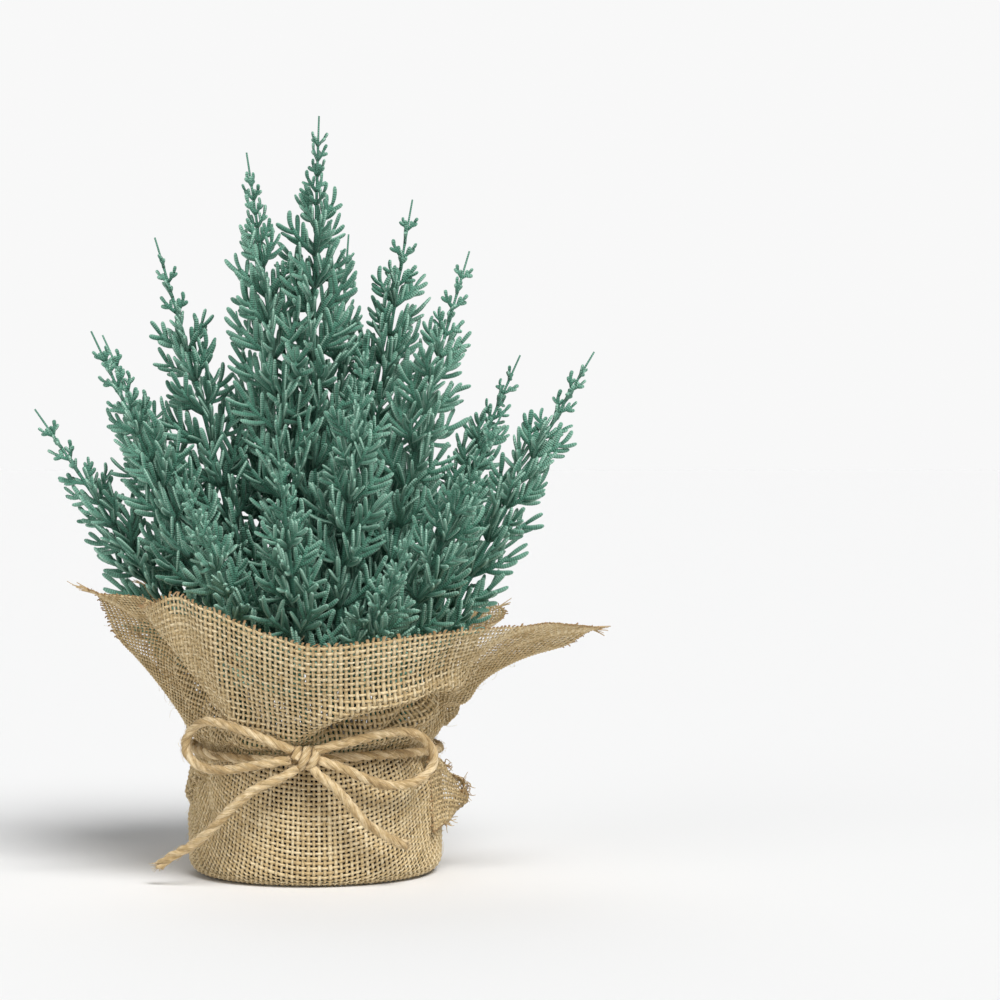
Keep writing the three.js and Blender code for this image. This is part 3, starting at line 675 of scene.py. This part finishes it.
def smooth_drape(turn, distance):
    """The smooth mid-surface in mm: radius, height, direction round the pot, share of the collar."""
    turn = (turn + 180) % 360 - 180
    gathered = smooth_table(TURN_TABLE, turn, 1)
    rim_radius, rim_height, belly = (smooth_table(RIM_TABLE, gathered, k) for k in (1, 2, 3))
    below = np.clip((distance - FLAT_RADIUS) / (WAIST_REACH - FLAT_RADIUS), 0, 1)
    angle = np.radians(turn + (gathered - turn) * below)
    wall_radius, wall_height = wall_profile(distance)
    reach = edge_reach(np.radians(turn))
    t = np.clip((distance - WAIST_REACH) / (reach - WAIST_REACH), 0, 1.05)
    collar_radius = curve_share(t, WAIST_RADIUS, (WAIST_RADIUS + rim_radius) / 2 + belly, rim_radius)
    collar_height = curve_share(t, WAIST_HEIGHT, (WAIST_HEIGHT + rim_height) / 2 - belly, rim_height)
    on_wall = distance <= WAIST_REACH
    radius = np.where(on_wall, wall_radius, collar_radius)
    height = np.where(on_wall, wall_height, collar_height)
    return radius, height, angle, t


def round_points(radius, height, angle):
    return np.stack([radius * np.sin(angle), -radius * np.cos(angle), height], axis=-1)


def crease_offset(degrees, up_cloth):
    """How far outward the creases push each point of the cloth, in mm."""
    offset = np.zeros(np.broadcast(degrees, up_cloth).shape)
    for path, half_width, depth, ridge in CREASES:
        nearest = np.full(offset.shape, 1e9)
        beside = np.zeros(offset.shape)
        end_fade = np.ones(offset.shape)
        for k, ((turn0, up0), (turn1, up1)) in enumerate(zip(path, path[1:])):
            run = np.array([(turn1 - turn0) * MM_PER_DEGREE, up1 - up0])
            x, y = (degrees - turn0) * MM_PER_DEGREE, up_cloth - up0
            share = np.clip((x * run[0] + y * run[1]) / (run @ run), 0, 1)
            away = np.hypot(x - share * run[0], y - share * run[1])
            closer = away < nearest
            nearest = np.where(closer, away, nearest)
            beside = np.where(closer, (run[0] * y - run[1] * x) / math.sqrt(run @ run), beside)
            travelled = np.clip((k + share) / (len(path) - 1), 0.03, 0.97)
            end_fade = np.where(closer, np.sin(math.pi * travelled), end_fade)
        beside = np.sign(ridge) * beside
        crest = np.exp(-((beside - 1.7 * half_width) / (1.5 * half_width)) ** 2)
        near = np.exp(-(nearest / (3.0 * half_width)) ** 2)
        steepness = np.where(beside > 0, STEEP_SIDE, GENTLE_SIDE)
        valley = np.exp(-(nearest / (steepness * half_width)) ** 2)
        offset += end_fade ** 0.5 * (abs(ridge) * crest * near - depth * valley)
    return offset


def drape(across, ahead):
    """Places, in mm, of flat sheet points: the smooth mid-surface with gathers and creases added."""
    distance = np.maximum(np.hypot(across, ahead), 1e-6)
    turn = np.degrees(np.arctan2(across, ahead))
    radius, height, angle, t = smooth_drape(turn, distance)

    # the cloth is squeezed round the pot, and the spare length goes into waves of matching depth
    step = 1.5
    before = round_points(*smooth_drape(turn - step, distance)[:3])
    after = round_points(*smooth_drape(turn + step, distance)[:3])
    arc = distance * np.radians(2 * step)
    squeeze = np.clip(np.linalg.norm(after - before, axis=-1) / arc, 0.05, 1.0)
    depth = 2 * distance * np.sqrt(squeeze * (1 - squeeze))
    flat_turn = np.radians(turn)
    wander = 0.9 * np.sin(3 * flat_turn + 0.4) + 0.5 * np.sin(5 * flat_turn + 2.0)
    waves = sum(share / folds * np.sin(folds * flat_turn + start + way * wander)
                for share, folds, start, way in GATHERS)
    peak = sum(share / folds for share, folds, _, _ in GATHERS)
    gather = depth * waves
    to_tie = distance - (WAIST_REACH - 3.0)
    held = 1 - 0.85 * np.exp(-(to_tie / 9.0) ** 2)
    below = np.clip((distance - WALL_START) / (WAIST_REACH - WALL_START), 0, 1)
    wall_gather = np.clip(below ** 1.3 * (0.55 * depth * peak * 0.5 + 0.75 * gather), -0.5, 3.2) * held
    toward_rim = 1 - 0.45 * np.clip(t, 0, 1)
    collar_gather = gather * held * toward_rim
    on_wall = distance <= WAIST_REACH
    offset = np.where(on_wall, wall_gather, collar_gather)
    up_cloth = distance - WAIST_REACH
    offset = offset + crease_offset(np.degrees(angle), up_cloth) * np.clip(np.abs(to_tie) / 8.0, 0, 1)
    beside_pot = (height > POT_LOW) & (height < POT_HIGH)
    offset = np.where(beside_pot, np.maximum(offset, POT_CLEAR - radius), offset)
    return round_points(radius + 0.87 * offset, height - np.where(t > 0, 0.45 * offset, 0), angle)


YARN_PITCH = 2.2
YARN_HALF_WIDTH = 0.66
YARN_HALF_THICK = 0.35
CROWN = 0.38  # how far a yarn rises and falls as it passes over and under
YARN_WANDER = 0.15 * YARN_PITCH
FEED_REACH, HOLLOW_REACH = 18, 16  # half pitches over which cloth is drawn in, and a hollow is measured
PAINTED_HOLLOW_SHADE, DARKEST_PAINTED_SHADE = 0.025, 1.2  # painted shade in the cloth's hollows: the tone that a yarn loses per square mm of hollow, and the most


def half_pitch_grid(low, high):
    """Flat places at half a pitch, with the yarns' middles at the odd ones."""
    yarns = int(round((high - low) / YARN_PITCH))
    return np.linspace(low, high, 2 * yarns + 1)


def averaged(grid, reach, axis):
    """Every value averaged over its neighbours along one axis, with the ends kept."""
    kernel = np.hanning(2 * reach + 3)[1:-1]
    widths = [(reach, reach) if k == axis else (0, 0) for k in range(grid.ndim)]
    padded = np.pad(grid, widths, mode="reflect", reflect_type="odd")
    return np.apply_along_axis(np.convolve, axis, padded, kernel / kernel.sum(), "valid")


def slid_along(shape, across, ahead):
    """The same yarn places slid along axis 1, so that a fold draws cloth in from both its sides."""
    steps = np.linalg.norm(np.diff(shape(across, ahead), axis=1), axis=2)
    travelled = np.pad(np.cumsum(steps, axis=1), ((0, 0), (1, 0)))
    wanted = averaged(travelled, FEED_REACH, axis=1)
    rows = zip(wanted, travelled, across, ahead)
    moved = np.array([(np.interp(w, t, x), np.interp(w, t, y)) for w, t, x, y in rows])
    return moved[:, 0], moved[:, 1]


def fed_evenly(shape, across, ahead):
    """Slides the places along both yarn directions in turn, so that no fold stretches the weave."""
    for _ in range(3):
        across, ahead = slid_along(shape, across, ahead)
        across, ahead = (grid.T for grid in slid_along(shape, across.T, ahead.T))
    return across, ahead


def hollow_depth(places, normals):
    """How far, in mm, each place lies below the cloth around it."""
    around = averaged(averaged(places, HOLLOW_REACH, axis=0), HOLLOW_REACH, axis=1)
    return np.sum((around - places) * normals, axis=-1, keepdims=True)


def weave(tubes, shape, across, ahead, seed, stray=(0.0, 1.6), curl=0.5):
    """Both yarn directions of a plain weave over shape(across, ahead), as flattened closed tubes."""
    rng = np.random.default_rng(seed)
    grid_across, grid_ahead = np.meshgrid(across, ahead, indexing="ij")
    for row in range(1, len(across), 2):
        grid_across[row] += YARN_WANDER * noise_line(rng, len(ahead), 9)
    for column in range(1, len(ahead), 2):
        grid_ahead[:, column] += YARN_WANDER * noise_line(rng, len(across), 9)
    grid_across, grid_ahead = fed_evenly(shape, grid_across, grid_ahead)
    places = shape(grid_across, grid_ahead)
    by_across, by_ahead = np.gradient(places, axis=0), np.gradient(places, axis=1)
    normals = unit(np.cross(by_across, by_ahead))
    # how deep each place lies in a hollow, which add_yarns darkens with painted shade
    hollows = hollow_depth(places, normals)
    add_yarns(tubes, rng, places, normals, by_across, by_ahead, hollows, 1.0, stray, curl)
    turned_round = [grid.transpose(1, 0, 2) for grid in (places, normals, by_ahead, by_across, hollows)]
    add_yarns(tubes, rng, *turned_round, -1.0, stray, curl)


def add_yarns(tubes, rng, places, normals, by_across, by_ahead, hollows, over, stray, curl):
    """The yarns that run along axis 1 of the grid, passing over and under those that cross them."""
    yarns = np.arange(1, places.shape[0], 2)
    stations = places.shape[1]
    normal, along = normals[yarns], unit(by_ahead[yarns])
    crowd = np.clip(np.linalg.norm(by_across[yarns], axis=-1) * 2 / YARN_PITCH, 0.45, 1.06)
    sign = over * np.where((yarns - 1) // 2 % 2 == 0, 1.0, -1.0)[:, None]
    rise = sign * np.cos(math.pi / 2 * (np.arange(stations) - 1))[None, :]
    centre = places[yarns] + normal * (rise * CROWN)[..., None]
    slub = 1 + np.array([0.17 * noise_line(rng, stations, 7) + 0.13 * noise_line(rng, stations, 31)
                         for _ in yarns])
    slub *= rng.uniform(0.90, 1.12, len(yarns))[:, None]
    side = unit(np.cross(normal, along))
    # one more station past each cut edge, where the freed end stands out by its own amount
    ends = []
    for end, outward in ((0, -1.0), (-1, 1.0)):
        reach = rng.uniform(*stray, len(yarns))[:, None]
        lift, sway = rng.normal(0, curl, (2, len(yarns), 1))
        bent = normal[:, end] * lift + side[:, end] * sway
        ends.append(centre[:, end] + (outward * along[:, end] + bent) * reach)
    centre = np.concatenate([ends[0][:, None], centre, ends[1][:, None]], axis=1)
    padded = [np.concatenate([a[:, :1], a, a[:, -1:]], axis=1) for a in (side, normal, slub, crowd)]
    side, normal, slub, crowd = padded
    half_width = (YARN_HALF_WIDTH * slub * crowd)[..., None]
    half_thick = (YARN_HALF_THICK * np.sqrt(slub))[..., None]
    rings = np.stack([
        centre + side * half_width, centre + normal * half_thick,
        centre - side * half_width, centre - normal * half_thick], axis=2) * MM
    stations += 2
    tone = 0.52 + np.array([0.16 * noise_line(rng, stations, 17) for _ in yarns])
    tone += rng.normal(0, 0.12, len(yarns))[:, None]
    # painted light and shade: a yarn is lighter where it rises over the yarn across it and darker where it
    # dips under
    tone += 0.24 * np.pad(rise, ((0, 0), (1, 1)))
    # painted shade: yarns that lie in the cloth's hollows are darker, by the square of the hollow's depth
    painted_shade = np.minimum(PAINTED_HOLLOW_SHADE * np.maximum(hollows[yarns, :, 0], 0) ** 2, DARKEST_PAINTED_SHADE)
    tone -= np.pad(painted_shade, ((0, 0), (1, 1)), mode="edge")
    cut = np.zeros(stations)
    cut[[0, 1, -2, -1]] = (0.95, 0.55, 0.55, 0.95)
    along = np.arange(stations)[None, :] * YARN_PITCH / 2 + rng.uniform(0, 900, len(yarns))[:, None]
    tubes.add(rings, tone=tone[..., None], cut=cut[None, :, None], along=along[..., None],
              round_x=np.array([1.0, 0.0, -1.0, 0.0]), round_y=np.array([0.0, 1.0, 0.0, -1.0]))


def add_loose_strands(tubes, rng, across, ahead, heading, count, longest):
    """Freed yarns at a corner of the sheet, fanned round a heading."""
    root = drape(np.array([across]), np.array([ahead]))[0] * MM
    heading = unit(np.array(heading, dtype=float))
    for _ in range(count):
        length = rng.uniform(0.35, 1.0) * longest
        t = np.linspace(0, 1, 8)[:, None]
        swing = rng.normal(0, 0.11, 3)
        droop = rng.normal(0, 0.20, 3)
        points = root - heading * 0.004 + (heading + swing) * (length + 0.004) * t + droop * length * t ** 2
        width = np.linspace(0.00042, 0.00020, 8) * rng.uniform(0.7, 1.1)
        browning = np.linspace(0, 0.5, 8)[None, :, None]
        add_fibre(tubes, points, width, rng.uniform(0.4, 0.8), browning, sides=4)


def add_cloth_fuzz(tubes, rng, hairs):
    """Fine stray fibres over the outside of the cloth."""
    across = rng.uniform(-SHEET_LEFT, SHEET_RIGHT, hairs)
    ahead = rng.uniform(-SHEET_BACK, SHEET_FRONT, hairs)
    keep = np.hypot(across, ahead) > WALL_START + 2
    across, ahead = across[keep], ahead[keep]
    root = drape(across, ahead)
    to_side = unit(drape(across + 1, ahead) - root)
    to_rim = unit(drape(across, ahead + 1) - root)
    outward = unit(np.cross(to_side, to_rim))
    for base, side, rim, out in zip(root, to_side, to_rim, outward):
        turn = rng.uniform(0, 2 * math.pi)
        heading = side * math.cos(turn) + rim * math.sin(turn)
        bend = rng.normal(0, 0.5) * np.cross(out, heading)
        length = rng.uniform(2.0, 6.5)
        t = np.linspace(0, 1, 6)[:, None]
        lift = rng.uniform(0.5, 1.6) * rng.choice((1, 1, -1))
        points = base + out * 0.5 + (heading + bend * t) * length * t + out * lift * np.sin(t * 2.6)
        add_fibre(tubes, points * MM, np.full(6, 0.00006), rng.uniform(0.6, 1.1))


FLAP_WIDTH, FLAP_DROP, FLAP_TOP = 40.0, 33.0, 54.0


def flap_shape(across, down):
    """The loose corner under the tie at the right, in mm: as in the CAD, with its free edge rolled."""
    share, fall = across / FLAP_WIDTH, down / FLAP_DROP
    angle = np.radians(62 + 30 * share)
    wall, _ = wall_profile(WAIST_REACH - (WAIST_HEIGHT - FLAP_TOP) - FLAP_DROP * fall)
    proud = 12.5 * np.clip(share, 0, 1.1) ** 1.3 * np.sin(math.pi * np.clip(0.10 + 0.84 * fall, 0, 1))
    crumple = 2.4 * share * np.sin(8 * fall + 4 * share) + 1.1 * share * np.sin(17 * fall - 4 * share)
    rolled = np.clip(share - 0.72, 0, 1) / 0.28
    radius = wall + 2.6 + proud + crumple - 5.0 * rolled ** 2
    narrowing = 5.5 * share ** 1.4
    height = (FLAP_TOP - narrowing - (FLAP_DROP - 2 * narrowing) * fall + 1.4 * np.sin(6 * share)
              + 2.5 * rolled)
    return round_points(radius, height, angle - 0.16 * rolled ** 2)


def add_curl(tubes, rng, root, longest):
    """One curled loose yarn that stands out from the cloth at root, in mm."""
    outward = unit(np.array([root[0], root[1], 0.0]) + (0.0, 0.0, rng.normal(0, 25)))
    swing = unit(np.cross(outward, rng.normal(0, 1, 3)))
    length = rng.uniform(0.3, 1.0) * longest
    turns = rng.uniform(1.5, 4.0)
    t = np.linspace(0, 1, 9)[:, None]
    curl = swing * np.sin(turns * t) + np.cross(outward, swing) * (1 - np.cos(turns * t))
    points = root + outward * length * 0.55 * t + curl * length * 0.28
    width = np.linspace(0.00034, 0.00016, 9) * rng.uniform(0.6, 1.1)
    add_fibre(tubes, points * MM, width, rng.uniform(0.2, 0.7), rng.uniform(0.0, 0.7), sides=4)


def add_flap_fray(tubes, rng, count):
    """Curled loose yarns round the flap's free edges."""
    for _ in range(count):
        if rng.random() < 0.68:
            across, down = rng.uniform(36, FLAP_WIDTH), rng.uniform(0, FLAP_DROP)
        else:
            across = rng.uniform(12, FLAP_WIDTH)
            down = rng.choice((rng.uniform(0, 2), rng.uniform(31, FLAP_DROP)))
        add_curl(tubes, rng, flap_shape(np.array([across]), np.array([down]))[0], 8.0)


def add_side_fray(tubes, rng, count):
    """The frayed line beside the pocket, where a second cut edge of the cloth shows."""
    turn = math.radians(-47)
    for distance in rng.uniform(156, 196, count):
        root = drape(np.array([distance * math.sin(turn)]), np.array([distance * math.cos(turn)]))[0]
        add_curl(tubes, rng, root, 5.0)


def make_burlap():
    rng = np.random.default_rng(71)
    across = half_pitch_grid(-SHEET_LEFT, SHEET_RIGHT)
    ahead = half_pitch_grid(-SHEET_BACK, SHEET_FRONT)
    cloth, loose, flap, flap_fray = Tubes(), Tubes(), Tubes(), Tubes()
    weave(cloth, drape, across, ahead, 11)
    add_loose_strands(loose, rng, -SHEET_LEFT, SHEET_FRONT, (-0.85, -0.25, 0.35), 9, 10 * MM)
    add_loose_strands(loose, rng, SHEET_RIGHT, SHEET_FRONT, (0.98, -0.2, -0.12), 12, 6 * MM)
    add_loose_strands(loose, rng, -SHEET_LEFT, -SHEET_BACK, (-0.8, 0.5, 0.4), 6, 8 * MM)
    add_loose_strands(loose, rng, SHEET_RIGHT, -SHEET_BACK, (0.8, 0.5, 0.3), 6, 8 * MM)
    add_cloth_fuzz(loose, rng, 1300)
    add_side_fray(loose, rng, 46)
    flap_grid = half_pitch_grid(0, FLAP_WIDTH), half_pitch_grid(0, FLAP_DROP)
    weave(flap, flap_shape, *flap_grid, 13, stray=(0.1, 1.4), curl=0.7)
    add_flap_fray(flap_fray, rng, 90)

    cloth = cloth.piece("burlap_cloth", BURLAP)
    loose = loose.piece("burlap_loose_fibres", BURLAP)
    flap_fray = flap_fray.piece("burlap_flap_fray", BURLAP)
    flap = flap.piece("burlap_corner_flap", BURLAP)
    stands_for = ("burlap_wrap", None, "burlap_flap", None)
    for piece, node in zip((cloth, loose, flap, flap_fray), stands_for):
        settle(piece, "base", node)


make_burlap()

# ---------------------------------------------------------------- sprays
STEM_FOOT, STEM_TIP = 1.75 * MM, 0.42 * MM
STEM_BOW = 0.035  # of the stem's length, towards the middle
STEM_STEP = 0.0018


def spray_curve(foot, tip):
    """The stem's own curve, as in the CAD: a quadratic from foot to tip, bowed towards the middle."""
    outward = unit(np.array([tip[0], tip[1], 0.0]))
    middle = (foot + tip) / 2 - outward * STEM_BOW * np.linalg.norm(tip - foot)

    def at(t):
        t = np.asarray(t)[..., None]
        return foot * (1 - t) ** 2 + 2 * middle * t * (1 - t) + tip * t * t

    def direction(t):
        t = np.asarray(t)[..., None]
        return unit(2 * (middle - foot) * (1 - t) + 2 * (tip - middle) * t)

    return at, direction


LEAF_SIDES = 6
LEAF_SHARES = np.array([0.0, 0.15, 0.40, 0.65, 0.85, 0.955, 1.0])
LEAF_WIDTHS = np.array([0.70, 0.84, 0.96, 1.0, 0.93, 0.68, 0.30])
LEAF_EDGE = np.cos(np.arange(LEAF_SIDES) / LEAF_SIDES * 2 * math.pi) ** 2  # 1 at a leaf's two edges


def leaf_rings(base, heading, plane_side, normal, length, half_width, curl):
    """Blunt flattened leaves, as arrays over leaves: each bends by its curl in its own plane."""
    shares = LEAF_SHARES[None, :, None]
    bend = curl[:, None, None] * shares ** 2 * 0.5
    centre = (base[:, None, :] + heading[:, None, :] * (length[:, None, None] * shares)
              + plane_side[:, None, :] * (bend * length[:, None, None]))
    tangent = unit(np.gradient(centre, axis=1))
    flat = unit(np.cross(normal[:, None, :], tangent))
    thick = np.cross(tangent, flat)
    width = half_width[:, None] * LEAF_WIDTHS[None, :]
    return ring_points(centre, flat, thick, width, 0.74 * width, LEAF_SIDES)


def turned(vector, axis, angle):
    """vector turned about a unit axis, for arrays of vectors and angles."""
    c, s = np.cos(angle)[..., None], np.sin(angle)[..., None]
    lengthwise = np.sum(axis * vector, axis=-1, keepdims=True)
    return vector * c + np.cross(axis, vector) * s + axis * lengthwise * (1 - c)


RIB_SHARE, RIB_CURL = 0.64, 0.42  # of a fan's length, and radians that its rib turns upward
FINGER_HALF, FINGER_GROWTH = 0.75 * MM, 0.0135  # half a finger's width, and how it grows with the fan
WIDEST_FAN = 33 * MM  # where that growth ends
FINGER_SPACING = 0.0082  # metres of fan for each pair of fingers
SHORTEST_FINGER, LONGEST_FINGER = 3.0 * MM, 13.5 * MM


def add_fan(foliage, rng, root, direction, away, length, lean, tone):
    """One hand-like fan: a rib that leaves the stem and curls up, with blunt fingers on both sides.

    direction runs along the stem, away points out from it, and the fan lies in the plane of both,
    turned a little about its own rib.
    """
    heading = unit(direction * math.cos(lean) + away * math.sin(lean))
    upward = unit(direction - heading * heading.dot(direction))
    upward = turned(upward, heading, np.array(rng.normal(0, 0.30)))
    normal = unit(np.cross(heading, upward))
    rib_length = length * RIB_SHARE

    def rib_at(share):
        return root + rib_length * (heading * share + upward * (RIB_CURL * 0.5 * share ** 2))

    def rib_heading(share):
        return unit(heading + upward * (RIB_CURL * share))

    half = FINGER_HALF + FINGER_GROWTH * min(length, WIDEST_FAN)
    centre = np.array([rib_at(share) for share in np.linspace(0, 1, 5)])
    tangent = unit(np.gradient(centre, axis=0))
    flat = unit(np.cross(normal, tangent))
    width = half * np.array([1.15, 1.05, 1.0, 0.98, 0.95])
    ring = ring_points(centre, flat, normal, width, 0.8 * width, LEAF_SIDES)
    along = np.linspace(0, rib_length, 5)[None] / MM
    inner = np.linspace(-0.46, -0.05, 5)[None, :, None]
    foliage.add(ring[None], tone=tone + inner, along=along[..., None], edge=LEAF_EDGE * 0.8)

    # each finger: share along the rib, degrees off the rib towards the stem's direction, share of length
    pairs = int(np.clip(round(length / FINGER_SPACING), 1, 3))
    fingers = [(1.0, rng.normal(2, 6), 0.36)]
    for pair in range(pairs):
        share = 0.26 + 0.72 * (pair + 0.35) / pairs
        fingers.append((share - 0.06, rng.uniform(34, 50), 0.46 - 0.12 * share))
        fingers.append((min(share + 0.05, 1.0), -rng.uniform(34, 54), 0.43 - 0.10 * share))
    if length > 0.013:
        fingers.append((0.06, rng.uniform(14, 26), 0.42))
    shares, angles, sizes = np.array(fingers).T
    count = len(fingers)
    sizes = sizes * length * rng.uniform(0.85, 1.15, count)
    sizes = np.clip(sizes, SHORTEST_FINGER, LONGEST_FINGER)
    bases = np.array([rib_at(share) for share in shares])
    ahead = np.array([rib_heading(share) for share in shares])
    beside = unit(upward[None, :] - ahead * (ahead @ upward)[:, None])
    angles = np.radians(angles)[:, None]
    headings = unit(ahead * np.cos(angles) + beside * np.sin(angles))
    headings = unit(headings + normal[None, :] * rng.normal(0, 0.20, count)[:, None])
    plane_side = unit(upward[None, :] - headings * (headings @ upward)[:, None])
    leaf_normal = turned(unit(np.cross(headings, plane_side)), headings, rng.normal(0, 0.4, count))
    curls = np.where(angles[:, 0] < 0, rng.uniform(0.45, 0.95, count), rng.uniform(-0.30, 0.15, count))
    widths = half * 1.06 * rng.uniform(0.90, 1.12, count)
    rings = leaf_rings(bases, headings, plane_side, leaf_normal, sizes, widths, curls)
    along = sizes[:, None] * LEAF_SHARES[None, :] / MM
    shades = (tone + rng.normal(0, 0.10, count))[:, None, None] + 0.42 * (LEAF_SHARES[None, :, None] - 0.62)
    tips = 0.22 * LEAF_SHARES[None, :, None] ** 3
    foliage.add(rings, tone=shades, along=along[..., None], edge=LEAF_EDGE + tips)


def collar_cloud():
    """Points over the collar, in metres, which the fans keep clear of."""
    turns = np.radians(np.arange(-180, 180, 3.0))[:, None]
    shares = np.linspace(0.0, 1.0, 12)[None, :]
    distance = WAIST_REACH + (edge_reach(turns) - WAIST_REACH) * shares
    return drape(distance * np.sin(turns), distance * np.cos(turns)).reshape(-1, 3) * MM


COLLAR_POINTS = collar_cloud()
FOAM_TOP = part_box("foam_block")[1][2]
BENT_FANS_GIVE = 0.002  # fans may press this much closer to the cloth when their spray is bent


def clear_of_pot(joint, root, heading, length):
    """Whether a fan stays above the foam, and off the collar both at rest and bent outward."""
    foot = np.array(joint["pos_m"])
    axis = np.array(joint["axis"])
    limit = np.array(math.radians(joint["range_deg"][1]))
    for share, margin in ((0.45, 0.006), (0.75, 0.007), (1.0, 0.006)):
        at_rest = root + heading * length * share
        if at_rest[2] < FOAM_TOP + 0.002:
            return False
        bent = foot + turned(at_rest - foot, axis, limit)
        for point, room in ((at_rest, margin), (bent, margin - BENT_FANS_GIVE)):
            if np.min(np.linalg.norm(COLLAR_POINTS - point, axis=1)) < room:
                return False
    return True


def longest_clear(joint, root, heading, length):
    """The fan's length, cut down where there is less room, or nothing where there is none."""
    for share in (1.0, 0.8, 0.62):
        if clear_of_pot(joint, root, heading, length * share):
            return length * share
    return 0.0


def stem_rings(at, direction, length, whorls):
    """The stem with a swelling at each whorl, tapering to a bare spike."""
    t = np.linspace(0.0, 1.0, int(length / STEM_STEP))
    centre = at(t)
    tangent = direction(t)
    side = unit(np.cross(tangent, (1.0, 0.0, 0.0)))
    up = np.cross(tangent, side)
    radius = STEM_FOOT + (STEM_TIP - STEM_FOOT) * t ** 1.15
    for place in whorls:
        radius = radius * (1 + 0.30 * np.exp(-((t - place) * length / 0.0016) ** 2))
    radius[0] *= 0.55
    return ring_points(centre, side, up, radius, radius, 8), t * length / MM


def plan_whorls(rng, length):
    """Distance from the tip, number of fans and fan length of each whorl, from the tip down."""
    plan = []
    from_tip = 0.0125 + rng.uniform(0, 0.003)
    while from_tip < 0.045:
        size = 0.0062 + 0.24 * (from_tip - 0.0125)
        plan.append((from_tip, 2, size))
        from_tip += 0.0066 * rng.uniform(0.9, 1.12)
    from_tip += 0.004
    while from_tip < length - 0.010:
        grown = min((from_tip - 0.045) / 0.055, 1.0)
        plan.append((from_tip, 4 if grown < 0.5 else 5, 0.0190 + 0.0130 * grown))
        from_tip += (0.0125 + 0.0050 * grown) * rng.uniform(0.9, 1.1)
    return plan


def make_spray(number):
    rng = np.random.default_rng(500 + number)
    name = f"spray_{number:02d}"
    joint = next(j for j in frame["joints"] if j["name"] == f"bend_{number:02d}")
    foot = np.array(joint["pos_m"])
    vertices = np.array([v.co[:] for v in frame["nodes"][name].data.vertices])
    tip = vertices[np.argmax(np.linalg.norm(vertices - foot, axis=1))]
    at, direction = spray_curve(foot, tip)
    length = travelled_along(at(np.linspace(0, 1, 60)))[-1]
    foliage = Tubes()
    tone = 0.5 + rng.normal(0, 0.09)

    whorls = []
    start_turn = rng.uniform(0, 2 * math.pi)
    for from_tip, fans, size in plan_whorls(rng, length):
        t = 1 - from_tip / length
        root, heading = at(t), direction(t)
        side = unit(np.cross(heading, (1.0, 0.0, 0.0)))
        for k in range(fans):
            turn = start_turn + 2 * math.pi * k / fans + rng.normal(0, 0.14)
            away = turned(side, heading, np.array(turn))
            lean = math.radians(rng.uniform(44, 58))
            fan_length = size * rng.uniform(0.88, 1.10)
            axis = heading * math.cos(lean - 0.2) + away * math.sin(lean - 0.2)
            fan_length = longest_clear(joint, root, axis, fan_length)
            if fan_length:
                # painted light and shade: fans that face out of the tree are paler and fans that face its
                # middle darker, as light falls
                outward = away @ unit(root * (1.0, 1.0, 0.0))
                young = 0.22 * max(0.0, 1 - from_tip / 0.14)
                fan_tone_with_painted_light = tone - 0.05 + 0.13 * outward + young + rng.normal(0, 0.06)
                add_fan(foliage, rng, root, heading, away, fan_length, lean, fan_tone_with_painted_light)
        whorls.append(t)
        start_turn += math.radians(90 if fans == 2 else 180 / fans + 12)
    rings, along = stem_rings(at, direction, length, whorls)
    paler = np.clip((along - (length / MM - 60.0)) / 40.0, 0, 1)  # the last stretch below the tip
    foliage.add(rings[None], tone=(tone - 0.20 + 0.26 * paler)[None, :, None], along=along[None, :, None],
                edge=0.15 + 0.2 * paler[None, :, None])
    piece = foliage.piece(name + "_foliage", CYPRESS)
    settle(piece, name, name)


for spray_number in range(1, sum(n.startswith("spray_") for n in frame["nodes"]) + 1):
    make_spray(spray_number)

for node, finish in (("foam_block", FOAM), ("pot_liner", POT), ("cement_ballast", CEMENT)):
    frame["nodes"][node].material_slots[0].material = finish
for node, item in frame["nodes"].items():
    if node.startswith("wire_foot_"):
        item.material_slots[0].material = STEEL
